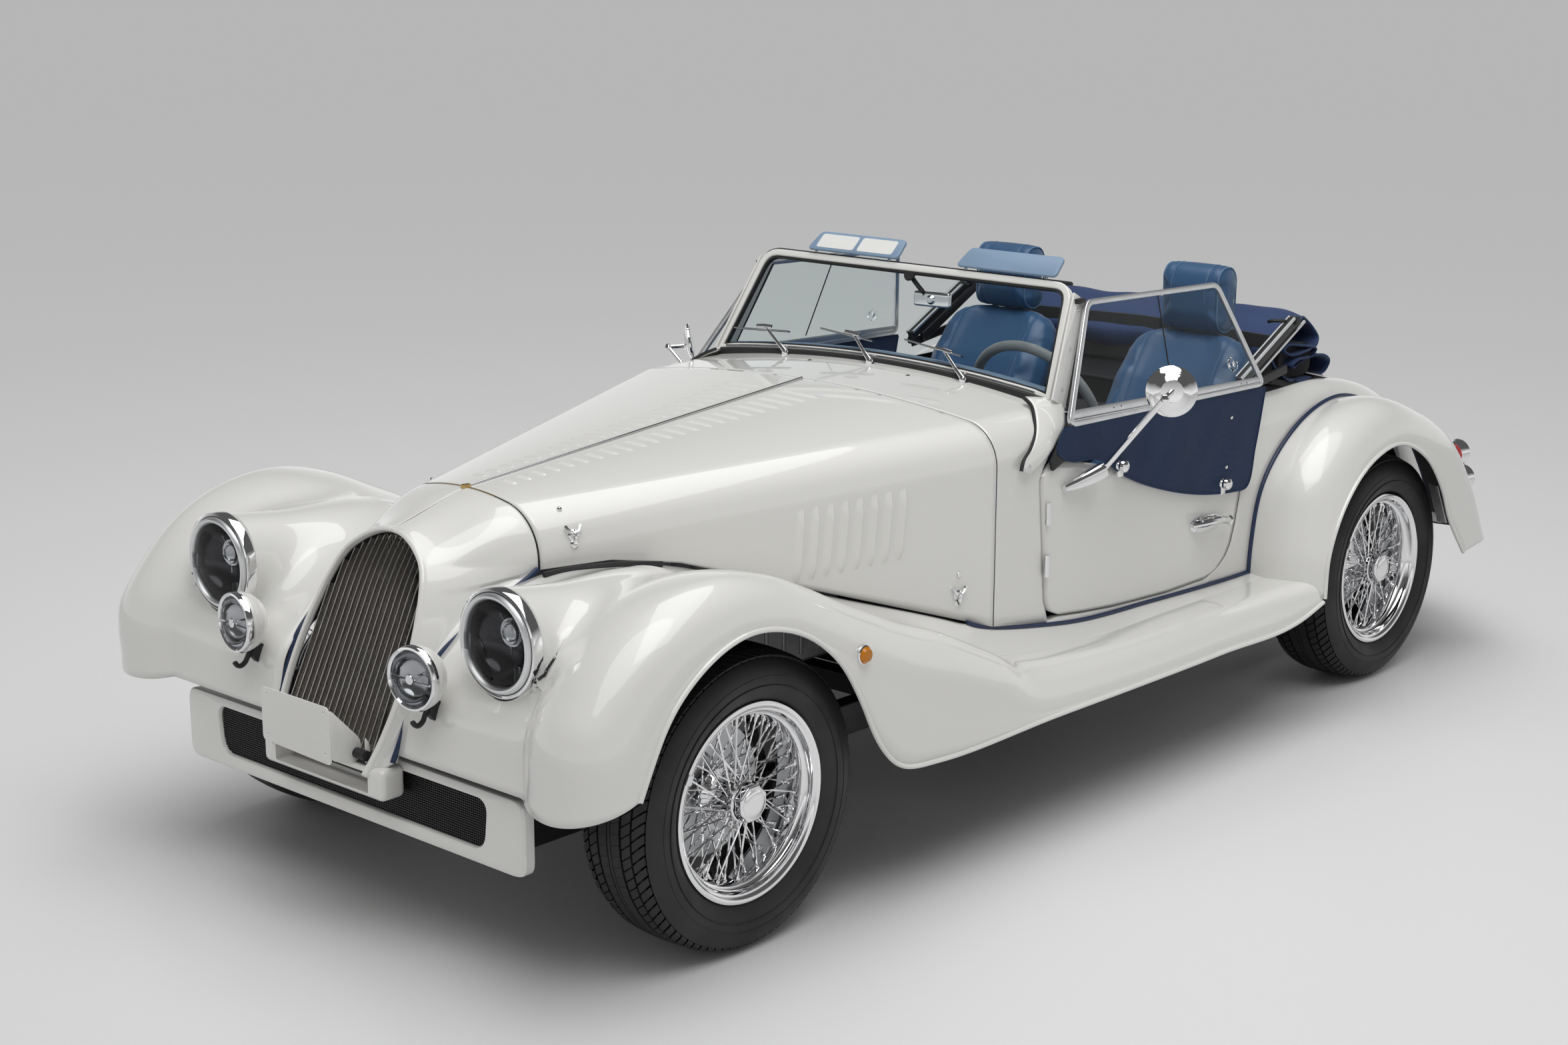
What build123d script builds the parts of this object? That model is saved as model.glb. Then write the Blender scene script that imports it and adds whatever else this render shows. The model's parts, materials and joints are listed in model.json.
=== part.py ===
"""Two-seat roadster convertible with a long louvred bonnet, separate wings, running boards and wire wheels.

Millimetres. +Z is up, the nose points to -Y and +X is the car's left, where the steering wheel is.
The origin is on the ground under the middle of the car.
"""
import os
from math import acos, asin, atan, cos, degrees, hypot, pi, radians, sin

from build123d import *

# ---- driving dimensions ----
LENGTH = 3830
HALF_LENGTH = LENGTH / 2
WHEELBASE = 2520
FRONT_AXLE_Y = -1345
REAR_AXLE_Y = FRONT_AXLE_Y + WHEELBASE
WHEEL_X = 630            # middle of each wheel
TYRE_R = 312
TYRE_HALF_WIDTH = 103
RIM_SEAT_R = 192
AXLE_Z = TYRE_R
WING_LIP_X = 800         # outer edge of the wings
SKIN = 4                 # thickness of the body panels
GAP = 5                  # gap round a panel that opens

RAIL_IN, RAIL_OUT = 300, 345
RAIL_LOW, RAIL_TOP = 190, 265
FLOOR_TOP = RAIL_TOP + 6

COWL_SEAM_Y = -1455      # joint of nose cowl and bonnet
SCUTTLE_SEAM_Y = -400    # joint of bonnet and scuttle
BODY_HALF = 600          # half width of the body at the doors
BONNET_FRONT_HALF, BONNET_REAR_HALF = 222, 590
BONNET_FRONT_TOP, BONNET_REAR_TOP = 865, 958
STEER_AXIS_X = 560

parts = {}


# ---- helpers ----
def box(x0, x1, y0, y1, z0, z1):
    return Pos((x0 + x1) / 2, (y0 + y1) / 2, (z0 + z1) / 2) * Box(x1 - x0, y1 - y0, z1 - z0)


def rod(start, end, radius, end_radius=None):
    """A round bar, or a cone, between two points."""
    start, end = Vector(*start), Vector(*end)
    along = Plane(origin=start, z_dir=end - start)
    if end_radius is None:
        return Solid.make_cylinder(radius, (end - start).length, along)
    return Solid.make_cone(radius, end_radius, (end - start).length, along)


def chain(*points_and_radius):
    """Round bars end to end through a list of points, with a ball at each bend."""
    *points, radius = points_and_radius
    bars = [rod(a, b, radius) for a, b in zip(points, points[1:])]
    bars += [Pos(*p) * Sphere(radius) for p in points[1:-1]]
    return fuse(bars)


def fuse(solids):
    solids = list(solids)
    whole = solids[0]
    for solid in solids[1:]:
        whole = whole + solid
    return whole


def other_side(shape):
    return mirror(shape, Plane.YZ)


def both_sides(shape):
    return Compound(children=[shape, other_side(shape)])


def plate_yz(edges, x0, x1):
    """A flat panel from its outline in Y and Z, between two X values."""
    face = make_face(edges).face()
    if face.normal_at().X < 0:
        face = -face
    return Pos(x0, 0, 0) * extrude(face, amount=x1 - x0, dir=(1, 0, 0))


def plate_xy(points, z0, z1):
    """A flat plate from its corners in X and Y, between two heights."""
    corners = [Vector(x, y, 0) for x, y in points]
    face = make_face([Line(a, b) for a, b in zip(corners, corners[1:] + corners[:1])])
    return Pos(0, 0, z0) * extrude(face, amount=z1 - z0, dir=(0, 0, 1))


def outline_yz(*points):
    corners = [Vector(0, y, z) for y, z in points]
    return [Line(a, b) for a, b in zip(corners, corners[1:] + corners[:1])]


# ---- wings: each row is one section, seen along the car from its lip to its crown ----
# columns: lip_y, lip_z, crown_y, crown_z, crown_x, fold_x, fold_drop, inner_x, inner_drop
# A section runs from the inner edge in a straight line to the fold, then in an arc to the crown
# and in an arc to the outer side at WING_LIP_X; the drops are measured down from the crown.
FRONT_WING = [
    (-1737, 440, -1856, 398, 680, 570, 41, 196, 40),
    (-1707, 500, -1848, 551, 688, 565, 50, 205, 68),
    (-1672, 563, -1790, 634, 690, 545, 60, 214, 80),
    (-1612, 628, -1690, 726, 695, 520, 62, 222, 84),
    (-1525, 680, -1570, 780, 700, 505, 60, 226, 84),
    (-1435, 701, -1445, 797, 706, 500, 55, 233, 79),
    (-1330, 684, -1310, 776, 708, 520, 42, 275, 58),
    (-1235, 636, -1180, 723, 702, 540, 28, 318, 25),
    (-1165, 572, -1080, 674, 696, 555, 8, 357, 3),
    (-1109, 485, -985, 632, 692, 560, 4, 394, -12),
    (-1060, 393, -875, 584, 690, 580, 4, 434, -20),
    (-985, 318, -741, 535, 692, 600, 4, 483, -26),
    (-850, 297, -600, 470, 700, 620, 4, 540, -51),
    (-450, 296, -450, 408, 705, 640, 4, 577, -52),
    (-150, 293, -150, 378, 725, 650, 3, 604, -30),
    (240, 292, 240, 373, 730, 650, 2, 604, -12),
    (640, 301, 640, 372, 735, 650, 2, 606, -2),
    (722, 322, 722, 372, 750, 650, 2, 606, -2),
]
REAR_WING = [
    (729, 330, 672, 332, 650, 630, 1, 606, 1),
    (736, 430, 678, 445, 655, 630, 1, 606, 2),
    (787, 538, 712, 592, 670, 630, 3, 606, 6),
    (923, 654, 880, 752, 690, 640, 8, 606, 16),
    (1070, 687, 1070, 797, 690, 640, 6, 606, 12),
    (1232, 627, 1282, 748, 690, 640, 5, 606, 10),
    (1334, 525, 1470, 652, 690, 640, 5, 606, 10),
    (1392, 425, 1600, 505, 690, 640, 5, 606, 10),
    (1490, 312, 1700, 330, 690, 640, 5, 606, 10),
]


def wing_section(row, inside):
    """The closed outline of a wing at one station, of the skin's outer or inner face."""
    lip_y, lip_z, crown_y, crown_z, crown_x, fold_x, fold_drop, inner_x, inner_drop = row
    height = hypot(crown_y - lip_y, crown_z - lip_z)
    step_y, step_z = (crown_y - lip_y) / height, (crown_z - lip_z) / height
    skin, foot, reach = (SKIN, -40, 30) if inside else (0, 0, 0)
    top, side_x = height - skin, WING_LIP_X - skin

    def at(x, h):
        return Vector(x, lip_y + h * step_y, lip_z + h * step_z)

    def arc(from_x, to_x, drop):
        """An arc level at the crown that has dropped by drop at to_x, or that starts so at from_x."""
        far_x = from_x if to_x == crown_x else to_x
        run = abs(far_x - crown_x)
        radius = (run * run + drop * drop) / (2 * drop)
        half = acos(1 - drop / radius) / 2
        away = 1 if far_x > crown_x else -1
        middle = at(crown_x + away * radius * sin(half), top - radius * (1 - cos(half)))
        height_at = {crown_x: top, far_x: top - drop}
        return ThreePointArc(at(from_x, height_at[from_x]), middle, at(to_x, height_at[to_x]))

    slope = (inner_drop - fold_drop) / (fold_x - inner_x)
    start = at(inner_x - reach, top - inner_drop - reach * slope)
    side_drop = min(side_x - crown_x, top - 2)
    return Wire([
        Line(start, at(fold_x, top - fold_drop)),
        arc(fold_x, crown_x, fold_drop),
        arc(crown_x, side_x, side_drop),
        Line(at(side_x, top - side_drop), at(side_x, foot)),
        Line(at(side_x, foot), at(inner_x - reach, foot)),
        Line(at(inner_x - reach, foot), start),
    ])


def wing_solid(rows, inside=False):
    return Solid.make_loft([wing_section(row, inside) for row in rows], True)


# ---- headlamp pods, cut from the front wings' own skin ----
LAMP_X, LAMP_Y, LAMP_Z = 450, -1764, 681
LAMP_R = 106
POD_END_Y, POD_END_Z, POD_END_R = -1400, 628, 116
ARCH_CENTRE_Y, ARCH_CENTRE_Z, ARCH_CLEAR_R = -1410, 340, 396


def pod(skin):
    whole = rod((LAMP_X, LAMP_Y + 12, LAMP_Z), (LAMP_X, POD_END_Y, POD_END_Z), LAMP_R - skin, POD_END_R - skin)
    return whole - rod((200, ARCH_CENTRE_Y, ARCH_CENTRE_Z), (900, ARCH_CENTRE_Y, ARCH_CENTRE_Z), ARCH_CLEAR_R)


front_wing_outer = wing_solid(FRONT_WING)
lamp_seat = rod((LAMP_X, LAMP_Y - 60, LAMP_Z), (LAMP_X, LAMP_Y + 11.5, LAMP_Z), LAMP_R + 1)
rear_wing_outer = wing_solid(REAR_WING)
front_wing = front_wing_outer + pod(0) - wing_solid(FRONT_WING, inside=True) - pod(SKIN) - lamp_seat
front_wing = front_wing - rear_wing_outer
parts["front_wing_left"] = max(front_wing.solids(), key=lambda solid: solid.volume)
rear_wing = rear_wing_outer - wing_solid(REAR_WING, inside=True)
parts["rear_wing_left"] = rear_wing


# ---- bonnet, scuttle and rear body: arched sections across the car ----
def arch_points(half, top, drop, shoulder):
    """Crown and shoulder of an arched section: a wide arc, then a tighter one down to the side."""
    bend_x = half - shoulder
    for _ in range(30):
        lean = 2 * atan(drop / bend_x)
        bend_x = half - shoulder * (1 - sin(lean))
    wide = bend_x / sin(lean)
    crown_mid = (wide * sin(lean / 2), top - wide * (1 - cos(lean / 2)))
    bend = (bend_x, top - drop)
    centre_z = bend[1] - shoulder * cos(lean)
    turn = (pi / 2 - lean) / 2
    shoulder_mid = (half - shoulder + shoulder * cos(turn), centre_z + shoulder * sin(turn))
    return crown_mid, bend, shoulder_mid, (half, centre_z)


def half_arch(y, half, top, drop, shoulder, foot, skin=0, start_x=0, lean_y=0):
    """Closed outline of the left half of an arched section."""
    def at(x, z):
        return Vector(x, y + lean_y * (z - top), z)
    crown_mid, bend, shoulder_mid, side = arch_points(half - skin, top - skin, drop, shoulder - skin)
    return Wire([
        ThreePointArc(at(start_x, top - skin), at(*crown_mid), at(*bend)),
        ThreePointArc(at(*bend), at(*shoulder_mid), at(*side)),
        Line(at(*side), at(side[0], foot)),
        Line(at(side[0], foot), at(start_x, foot)),
        Line(at(start_x, foot), at(start_x, top - skin)),
    ])


def arch_solid(rows, skin=0, start_x=0, foot_drop=0, stretch=0):
    """Loft of half arches. Columns: y, half width, top, crown drop, shoulder radius, foot."""
    wires = []
    for index, (y, half, top, drop, shoulder, foot) in enumerate(rows):
        if index == 0:
            y -= stretch
        if index == len(rows) - 1:
            y += stretch
        wires.append(half_arch(y, half, top, drop, shoulder, foot - foot_drop, skin, start_x))
    return Solid.make_loft(wires, True)


def arch_shell(rows, start_x=0):
    return arch_solid(rows, 0, start_x) - arch_solid(rows, SKIN, start_x - (1 if start_x else 0), 40)


BONNET = [
    (COWL_SEAM_Y + 2, BONNET_FRONT_HALF, BONNET_FRONT_TOP, 14, 110, 560),
    (SCUTTLE_SEAM_Y - 2, BONNET_REAR_HALF, BONNET_REAR_TOP, 36, 100, 380),
]
# lower edge of the bonnet side: y, z
BONNET_FOOT = [(-1460, 724), (-1300, 726), (-1150, 700), (SCUTTLE_SEAM_Y, 452)]
BONNET_HINGE_X = 4
below_bonnet = plate_yz(outline_yz(*BONNET_FOOT, (SCUTTLE_SEAM_Y, 300), (-1460, 300)), 0, 900)
bonnet = arch_shell(BONNET, BONNET_HINGE_X) - below_bonnet

# eight pressed louvres on each bonnet side, leaning with the panel
LOUVRES = 8
LOUVRE_FIRST_Y, LOUVRE_LAST_Y = -884, -641
LOUVRE_FIRST_Z, LOUVRE_LAST_Z = 703, 722
LOUVRE_LENGTH, LOUVRE_WIDTH, LOUVRE_RISE, LOUVRE_LEAN = 164, 22, 7, 4.6
side_run = Vector(BONNET_REAR_HALF - BONNET_FRONT_HALF, SCUTTLE_SEAM_Y - COWL_SEAM_Y, 0).normalized()
side_out = Vector(side_run.Y, -side_run.X, 0)
for number in range(LOUVRES):
    share = number / (LOUVRES - 1)
    y = LOUVRE_FIRST_Y + share * (LOUVRE_LAST_Y - LOUVRE_FIRST_Y)
    z = LOUVRE_FIRST_Z + share * (LOUVRE_LAST_Z - LOUVRE_FIRST_Z)
    x = BONNET_FRONT_HALF + (y - COWL_SEAM_Y - 2) * side_run.X / side_run.Y
    flat = Plane(origin=Vector(x, y, z) - side_out * 2, x_dir=side_run, z_dir=side_out)
    slot = Rot(0, 0, 90 - LOUVRE_LEAN) * SlotOverall(LOUVRE_LENGTH, LOUVRE_WIDTH)
    bonnet += extrude(flat * slot, amount=LOUVRE_RISE + 2)
parts["bonnet_left"] = bonnet

# the two halves hinge on one long pin along the middle, level with their top
HINGE_R, HINGE_RISE = 3, 1
hinge_front = (0, COWL_SEAM_Y + 2, BONNET_FRONT_TOP + HINGE_RISE)
hinge_rear = (0, SCUTTLE_SEAM_Y - 2, BONNET_REAR_TOP + HINGE_RISE)
parts["bonnet_hinge"] = rod(hinge_front, hinge_rear, HINGE_R)

# scuttle, with its rear edge cut to the windscreen base and the door's front edge
SCUTTLE = [
    (SCUTTLE_SEAM_Y + 3, BONNET_REAR_HALF, BONNET_REAR_TOP, 36, 100, 452),
    (-95, BODY_HALF, 962, 36, 100, 405),
]
DOOR_FRONT_Y = -240
behind_scuttle = plate_yz(outline_yz(
    (-112, 980), (-112, 925), (DOOR_FRONT_Y + 15, 812), (DOOR_FRONT_Y - GAP, 770), (DOOR_FRONT_Y - GAP + 28, 470),
    (-198, 430), (-198, 380), (0, 380), (0, 980)), 300, 900)
behind_scuttle = behind_scuttle + box(-1, 301, -112, 0, 700, 990)
scuttle_half = arch_shell(SCUTTLE) - behind_scuttle
parts["scuttle"] = scuttle_half + other_side(scuttle_half)

# rear body: quarter panels, deck and tail, open over the cabin and at the wheels
DOOR_REAR_Y = 665
REAR_BODY = [
    (580, BODY_HALF, 838, 20, 80, 372),
    (1120, BODY_HALF, 842, 20, 80, 330),
    (1400, 588, 785, 24, 85, 320),
    (1650, 565, 640, 26, 90, 310),
    (1868, 525, 440, 26, 70, 300),
]
ARCH_R, ARCH_Y, ARCH_Z = 372, 1150, 345
TUB_X = 508
rear_half = arch_shell(REAR_BODY)
rear_half += box(0, 500, 1864, 1868, 304, 400)
wheel_space = rod((TUB_X, ARCH_Y, ARCH_Z), (900, ARCH_Y, ARCH_Z), ARCH_R)
tub = rod((TUB_X - SKIN, ARCH_Y, ARCH_Z), (BODY_HALF - SKIN, ARCH_Y, ARCH_Z), ARCH_R + SKIN) - wheel_space
inside_body = arch_solid(REAR_BODY, SKIN)
tub -= box(TUB_X - 20, TUB_X + 20, REAR_AXLE_Y - 45, REAR_AXLE_Y + 45, 200, AXLE_Z + 90)
rear_half = rear_half - wheel_space + (tub & inside_body)
cabin_back = box(-1, 540, 500, 1190, 780, 900)
door_rear_cut = plate_yz(outline_yz(
    (500, 900), (DOOR_REAR_Y + GAP, 900), (DOOR_REAR_Y + GAP, 818), (600 + GAP, 520), (560 + 30, 438), (540, 380), (500, 300)), 0, 700)
rear_half = rear_half - cabin_back - door_rear_cut
sill_panel = box(BODY_HALF - 12, BODY_HALF, -190, 600, 368, 396)
rear_half += sill_panel
parts["rear_body"] = rear_half + other_side(rear_half)

# ---- nose cowl, from the leaning grille to the bonnet seam ----
GRILLE_TOP_Y, GRILLE_TOP_Z = -1655, 808
GRILLE_FOOT_Y, GRILLE_FOOT_Z = -1865, 369
GRILLE_HEIGHT = hypot(GRILLE_FOOT_Y - GRILLE_TOP_Y, GRILLE_TOP_Z - GRILLE_FOOT_Z)


def grille_outline(inset=0, back=0):
    """Outline of the grille in its leaning plane, from six arcs and a level foot."""
    down_y = (GRILLE_FOOT_Y - GRILLE_TOP_Y) / GRILLE_HEIGHT
    down_z = (GRILLE_FOOT_Z - GRILLE_TOP_Z) / GRILLE_HEIGHT

    def at(x, s):
        s += inset
        return Vector(x, GRILLE_TOP_Y + s * down_y - back * down_z, GRILLE_TOP_Z + s * down_z + back * down_y)
    low = GRILLE_HEIGHT - 2 * inset
    top, neck, hip, foot = 62 - inset * 0.4, 145 - inset, 174 - inset, 146 - inset
    return [
        ThreePointArc(at(-top, 15), at(0, 0), at(top, 15)),
        ThreePointArc(at(top, 15), at(117 - inset * 0.9, 55), at(neck, 112)),
        ThreePointArc(at(neck, 112), at(hip, 300), at(foot, low)),
        Line(at(foot, low), at(-foot, low)),
        ThreePointArc(at(-foot, low), at(-hip, 300), at(-neck, 112)),
        ThreePointArc(at(-neck, 112), at(-117 + inset * 0.9, 55), at(-top, 15)),
    ]


def seam_outline(y, half, top, drop, shoulder, foot, inset=0):
    crown_mid, bend, shoulder_mid, side = arch_points(half - inset, top - inset, drop, shoulder - inset)

    def at(x, z):
        return Vector(x, y, z)
    return [
        ThreePointArc(at(-bend[0], bend[1]), at(0, top - inset), at(*bend)),
        ThreePointArc(at(*bend), at(*shoulder_mid), at(*side)),
        Line(at(*side), at(side[0], foot)),
        Line(at(side[0], foot), at(-side[0], foot)),
        Line(at(-side[0], foot), at(-side[0], side[1])),
        ThreePointArc(at(-side[0], side[1]), at(-shoulder_mid[0], shoulder_mid[1]), at(-bend[0], bend[1])),
    ]


cowl_outer = Solid.make_loft([
    Wire(grille_outline()),
    Wire(seam_outline(COWL_SEAM_Y - 2, BONNET_FRONT_HALF, BONNET_FRONT_TOP, 14, 110, 400))], True)
cowl_inner = Solid.make_loft([
    Wire(grille_outline(inset=SKIN, back=-2)),
    Wire(seam_outline(COWL_SEAM_Y, BONNET_FRONT_HALF, BONNET_FRONT_TOP, 14, 110, 380, SKIN))], True)
parts["front_cowl"] = cowl_outer - cowl_inner
grille_face = make_face(grille_outline(inset=SKIN + 1, back=20))
grille_normal = Vector(0, GRILLE_TOP_Z - GRILLE_FOOT_Z, -(GRILLE_TOP_Y - GRILLE_FOOT_Y)).normalized()
parts["grille"] = extrude(grille_face, amount=10, dir=grille_normal) & cowl_inner

# ---- apron, mesh and number plate carrier ----
APRON_Y = -1800
APRON_HALF, APRON_LOW, APRON_TOP = 550, 240, 394
MESH_HALF, MESH_LOW, MESH_TOP = 436, 266, 372


def rounded_plate(half, low, top, corner, y0, y1):
    sheet = Plane.XZ * (Pos(0, (low + top) / 2) * RectangleRounded(2 * half, top - low, corner))
    return Pos(0, y0, 0) * extrude(sheet, amount=y1 - y0, dir=(0, 1, 0))


apron = rounded_plate(APRON_HALF, APRON_LOW, APRON_TOP, 30, APRON_Y, APRON_Y + 26)
apron -= rounded_plate(MESH_HALF, MESH_LOW, MESH_TOP, 28, APRON_Y - 1, APRON_Y + 30)
CHIN_HALF = 196
apron -= box(-CHIN_HALF + 12, CHIN_HALF - 12, APRON_Y - 1, APRON_Y + 30, MESH_TOP - 10, APRON_TOP + 5)
chin = box(-CHIN_HALF, CHIN_HALF, APRON_Y - 52, APRON_Y + 1, 322, 382)
chin -= box(-CHIN_HALF + 6, CHIN_HALF - 6, APRON_Y - 46, APRON_Y + 5, 300, 376)
parts["front_apron"] = (apron + chin) - cowl_outer
parts["apron_mesh"] = rounded_plate(MESH_HALF - 0.5, MESH_LOW + 0.5, MESH_TOP - 0.5, 27, APRON_Y + 8, APRON_Y + 12)

PLATE_HALF, PLATE_LOW, PLATE_TOP = 112, 398, 512
PLATE_HOLE_R, PLATE_HOLE_X, PLATE_HOLE_Z = 2.6, 90, 42
plate_z = (PLATE_LOW + PLATE_TOP) / 2
plate = rounded_plate(PLATE_HALF, PLATE_LOW, PLATE_TOP, 10, -HALF_LENGTH, -HALF_LENGTH + 4)
for x in (-PLATE_HOLE_X, PLATE_HOLE_X):
    for z in (plate_z - PLATE_HOLE_Z, plate_z + PLATE_HOLE_Z):
        plate -= rod((x, -HALF_LENGTH - 5, z), (x, -HALF_LENGTH + 10, z), PLATE_HOLE_R)
plate_arm = plate_yz(outline_yz(
    (-HALF_LENGTH + 3, 505), (-HALF_LENGTH + 3, 404), (-1852, 385), (-1838, 392), (-1838, 425)), 108, 112)
parts["plate_carrier"] = plate + plate_arm + other_side(plate_arm)

# ---- lamps ----
headlamp = rod((LAMP_X, LAMP_Y - 16, LAMP_Z), (LAMP_X, LAMP_Y + 11, LAMP_Z), LAMP_R)
parts["headlamps"] = both_sides(headlamp)
SPOT_X, SPOT_Y, SPOT_Z, SPOT_R = 289, -1845, 595, 66
spot = rod((SPOT_X, SPOT_Y - 8, SPOT_Z), (SPOT_X, SPOT_Y + 24, SPOT_Z), SPOT_R)
spot += rod((SPOT_X, SPOT_Y + 24, SPOT_Z), (SPOT_X, SPOT_Y + 70, SPOT_Z), SPOT_R, 30)
parts["spot_lamps"] = both_sides(spot)

# ---- chassis, cabin floor and mechanical parts ----
rail = box(RAIL_IN, RAIL_OUT, -1700, 1780, RAIL_LOW, RAIL_TOP)
tower = box(RAIL_IN, RAIL_OUT, FRONT_AXLE_Y - 110, FRONT_AXLE_Y + 110, RAIL_TOP - 1, 440)
crossmembers = [box(-RAIL_IN - 1, RAIL_IN + 1, y - 25, y + 25, 215, RAIL_TOP) for y in (-1660, -1180, -420, 560, 1740)]
parts["chassis"] = fuse([rail, other_side(rail), tower, other_side(tower), *crossmembers])

FIREWALL_Y = -392
firewall_row = (FIREWALL_Y, BONNET_REAR_HALF - 16, BONNET_REAR_TOP - 8, 36, 90, RAIL_TOP)
firewall_half = extrude(make_face(half_arch(*firewall_row).edges()), amount=6, dir=(0, 1, 0))
floor_pan = box(-576, 576, FIREWALL_Y, 776, RAIL_TOP, FLOOR_TOP)
tunnel = box(-95, 95, FIREWALL_Y + 3, 640, FLOOR_TOP - 1, 440) - box(-89, 89, FIREWALL_Y + 3, 650, 200, 434)
rear_bulkhead = box(-500, 500, 776, 782, RAIL_TOP, 740)
sill = box(556, 576, -380, 740, FLOOR_TOP - 1, 366)
parts["cabin_floor"] = fuse([floor_pan, firewall_half, other_side(firewall_half), tunnel, rear_bulkhead,
                             sill, other_side(sill)])
parts["engine_block"] = box(-190, 190, -1140, -480, 330, 750)
parts["fuel_tank"] = box(-270, 270, 1380, 1640, 290, 470)

dash_profile = outline_yz((-128, 902), (-60, 884), (-60, 700), (-78, 700), (-78, 866), (-128, 884))
dashboard = plate_yz(dash_profile, -535, 535)

# front suspension arms between the chassis towers and the steered uprights, and the steering rack
ARM_LOW_Z, ARM_HIGH_Z = 222, 408
arms = []
for z in (ARM_LOW_Z, ARM_HIGH_Z):
    for spread in (-85, 85):
        arm = rod((RAIL_OUT - 5, FRONT_AXLE_Y + spread, z), (STEER_AXIS_X - 8, FRONT_AXLE_Y, z), 10)
        arms.append(arm - box(RAIL_IN, RAIL_OUT, -1500, -1200, 190, 450))
    arms.append(rod((STEER_AXIS_X, FRONT_AXLE_Y, z - 10), (STEER_AXIS_X, FRONT_AXLE_Y, z + 10), 18))
arm_set = [arms[0] + arms[1] + arms[2], arms[3] + arms[4] + arms[5]]
RACK_Y, RACK_Z = FRONT_AXLE_Y + 90, 292
rack = rod((-RAIL_IN + 2, RACK_Y, RACK_Z), (RAIL_IN - 2, RACK_Y, RACK_Z), 22)
tie_rod = rod((RAIL_OUT + 2, RACK_Y, RACK_Z), (455, RACK_Y, RACK_Z), 9)
parts["front_suspension"] = Compound(children=[*arm_set, *[other_side(arm) for arm in arm_set]])
parts["steering_rack"] = Compound(children=[rack, tie_rod, other_side(tie_rod)])

# rear axle with its differential, leaf springs and the stubs that carry the wheels
HUB_INNER_X = 578
SPINDLE_R = 16
SPINDLE_END_X = 640
axle_tube = rod((-500, REAR_AXLE_Y, AXLE_Z), (500, REAR_AXLE_Y, AXLE_Z), 34)
differential = rod((-60, REAR_AXLE_Y, AXLE_Z), (60, REAR_AXLE_Y, AXLE_Z), 100)
differential += rod((59, REAR_AXLE_Y, AXLE_Z), (120, REAR_AXLE_Y, AXLE_Z), 100, 50)
differential += rod((-120, REAR_AXLE_Y, AXLE_Z), (-59, REAR_AXLE_Y, AXLE_Z), 50, 100)
axle_stub = rod((499, REAR_AXLE_Y, AXLE_Z), (HUB_INNER_X - 3, REAR_AXLE_Y, AXLE_Z), 30)
axle_spindle = rod((HUB_INNER_X - 5, REAR_AXLE_Y, AXLE_Z), (SPINDLE_END_X, REAR_AXLE_Y, AXLE_Z), SPINDLE_R)
SPRING_FRONT_Y, SPRING_REAR_Y = 800, 1620
spring = plate_yz([
    ThreePointArc((0, SPRING_FRONT_Y, 303), (0, REAR_AXLE_Y, 282), (0, SPRING_REAR_Y, 303)),
    Line((0, SPRING_REAR_Y, 303), (0, SPRING_REAR_Y, 285)),
    ThreePointArc((0, SPRING_REAR_Y, 285), (0, REAR_AXLE_Y, 246), (0, SPRING_FRONT_Y, 285)),
    Line((0, SPRING_FRONT_Y, 285), (0, SPRING_FRONT_Y, 303))], 400, 445)
axle_side = fuse([axle_stub, axle_spindle])
parts["rear_axle"] = fuse([axle_tube, differential, axle_side, other_side(axle_side), spring, other_side(spring)])

exhaust = chain((230, -350, 178), (230, 1240, 178), (230, HALF_LENGTH - 60, 188), 22)
exhaust += rod((230, 1420, 184), (230, 1640, 186), 48)
parts["exhaust"] = both_sides(exhaust)

# ---- windscreen ----
SCREEN_LOW = Vector(0, -126, 938)
SCREEN_TOP = Vector(0, 14, 1189)
screen_up = (SCREEN_TOP - SCREEN_LOW).normalized()
screen_plane = Plane(origin=SCREEN_LOW, x_dir=(1, 0, 0), z_dir=Vector(1, 0, 0).cross(screen_up))
SCREEN_HEIGHT = (SCREEN_TOP - SCREEN_LOW).length


def screen_sheet(inset, thickness):
    """The windscreen's outline, inset all round, as a plate centred on its plane."""
    low, top, corner = 540 - inset, 492 - inset, 52 - inset * 0.7
    high = SCREEN_HEIGHT - inset
    outline = [
        ThreePointArc((-low, -8 + inset), (0, 26 + inset), (low, -8 + inset)),
        Line((low, -8 + inset), (top + 8, high - corner)),
        ThreePointArc((top + 8, high - corner), (top - corner * 0.27, high - corner * 0.29), (top - corner, high)),
        Line((top - corner, high), (-top + corner, high)),
        ThreePointArc((-top + corner, high), (-top + corner * 0.27, high - corner * 0.29), (-top - 8, high - corner)),
        Line((-top - 8, high - corner), (-low, -8 + inset)),
    ]
    return extrude(screen_plane * make_face(outline), amount=thickness / 2, both=True)


screen_frame = screen_sheet(0, 20) - screen_sheet(20, 40)


def leg_section(x, y, z, across, along):
    flat = Plane(origin=(x, y, z), x_dir=(0, 1, 0), z_dir=(0.35, -0.5, -0.8))
    return Wire((flat * Rectangle(across, along)).edges())


screen_leg = Solid.make_loft([
    leg_section(534, -112, 958, 30, 16), leg_section(590, -190, 905, 44, 8), leg_section(606, -288, 806, 30, 8)], True)
screen_leg = screen_leg - arch_solid(SCUTTLE)
screen_frame = screen_frame - arch_solid(SCUTTLE) - other_side(arch_solid(SCUTTLE))
parts["windscreen_frame"] = screen_frame + screen_leg + other_side(screen_leg)
parts["windscreen_glass"] = screen_sheet(20.5, 5) - arch_solid(SCUTTLE) - other_side(arch_solid(SCUTTLE))
VISOR_TILT = 35
visors = []
for x in (-190, 290):
    visors.append(Pos(x, 26, 1222) * Rot(VISOR_TILT - 90, 0, 0) * Box(300, 62, 8))
parts["sun_visors"] = Compound(children=visors)
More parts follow.
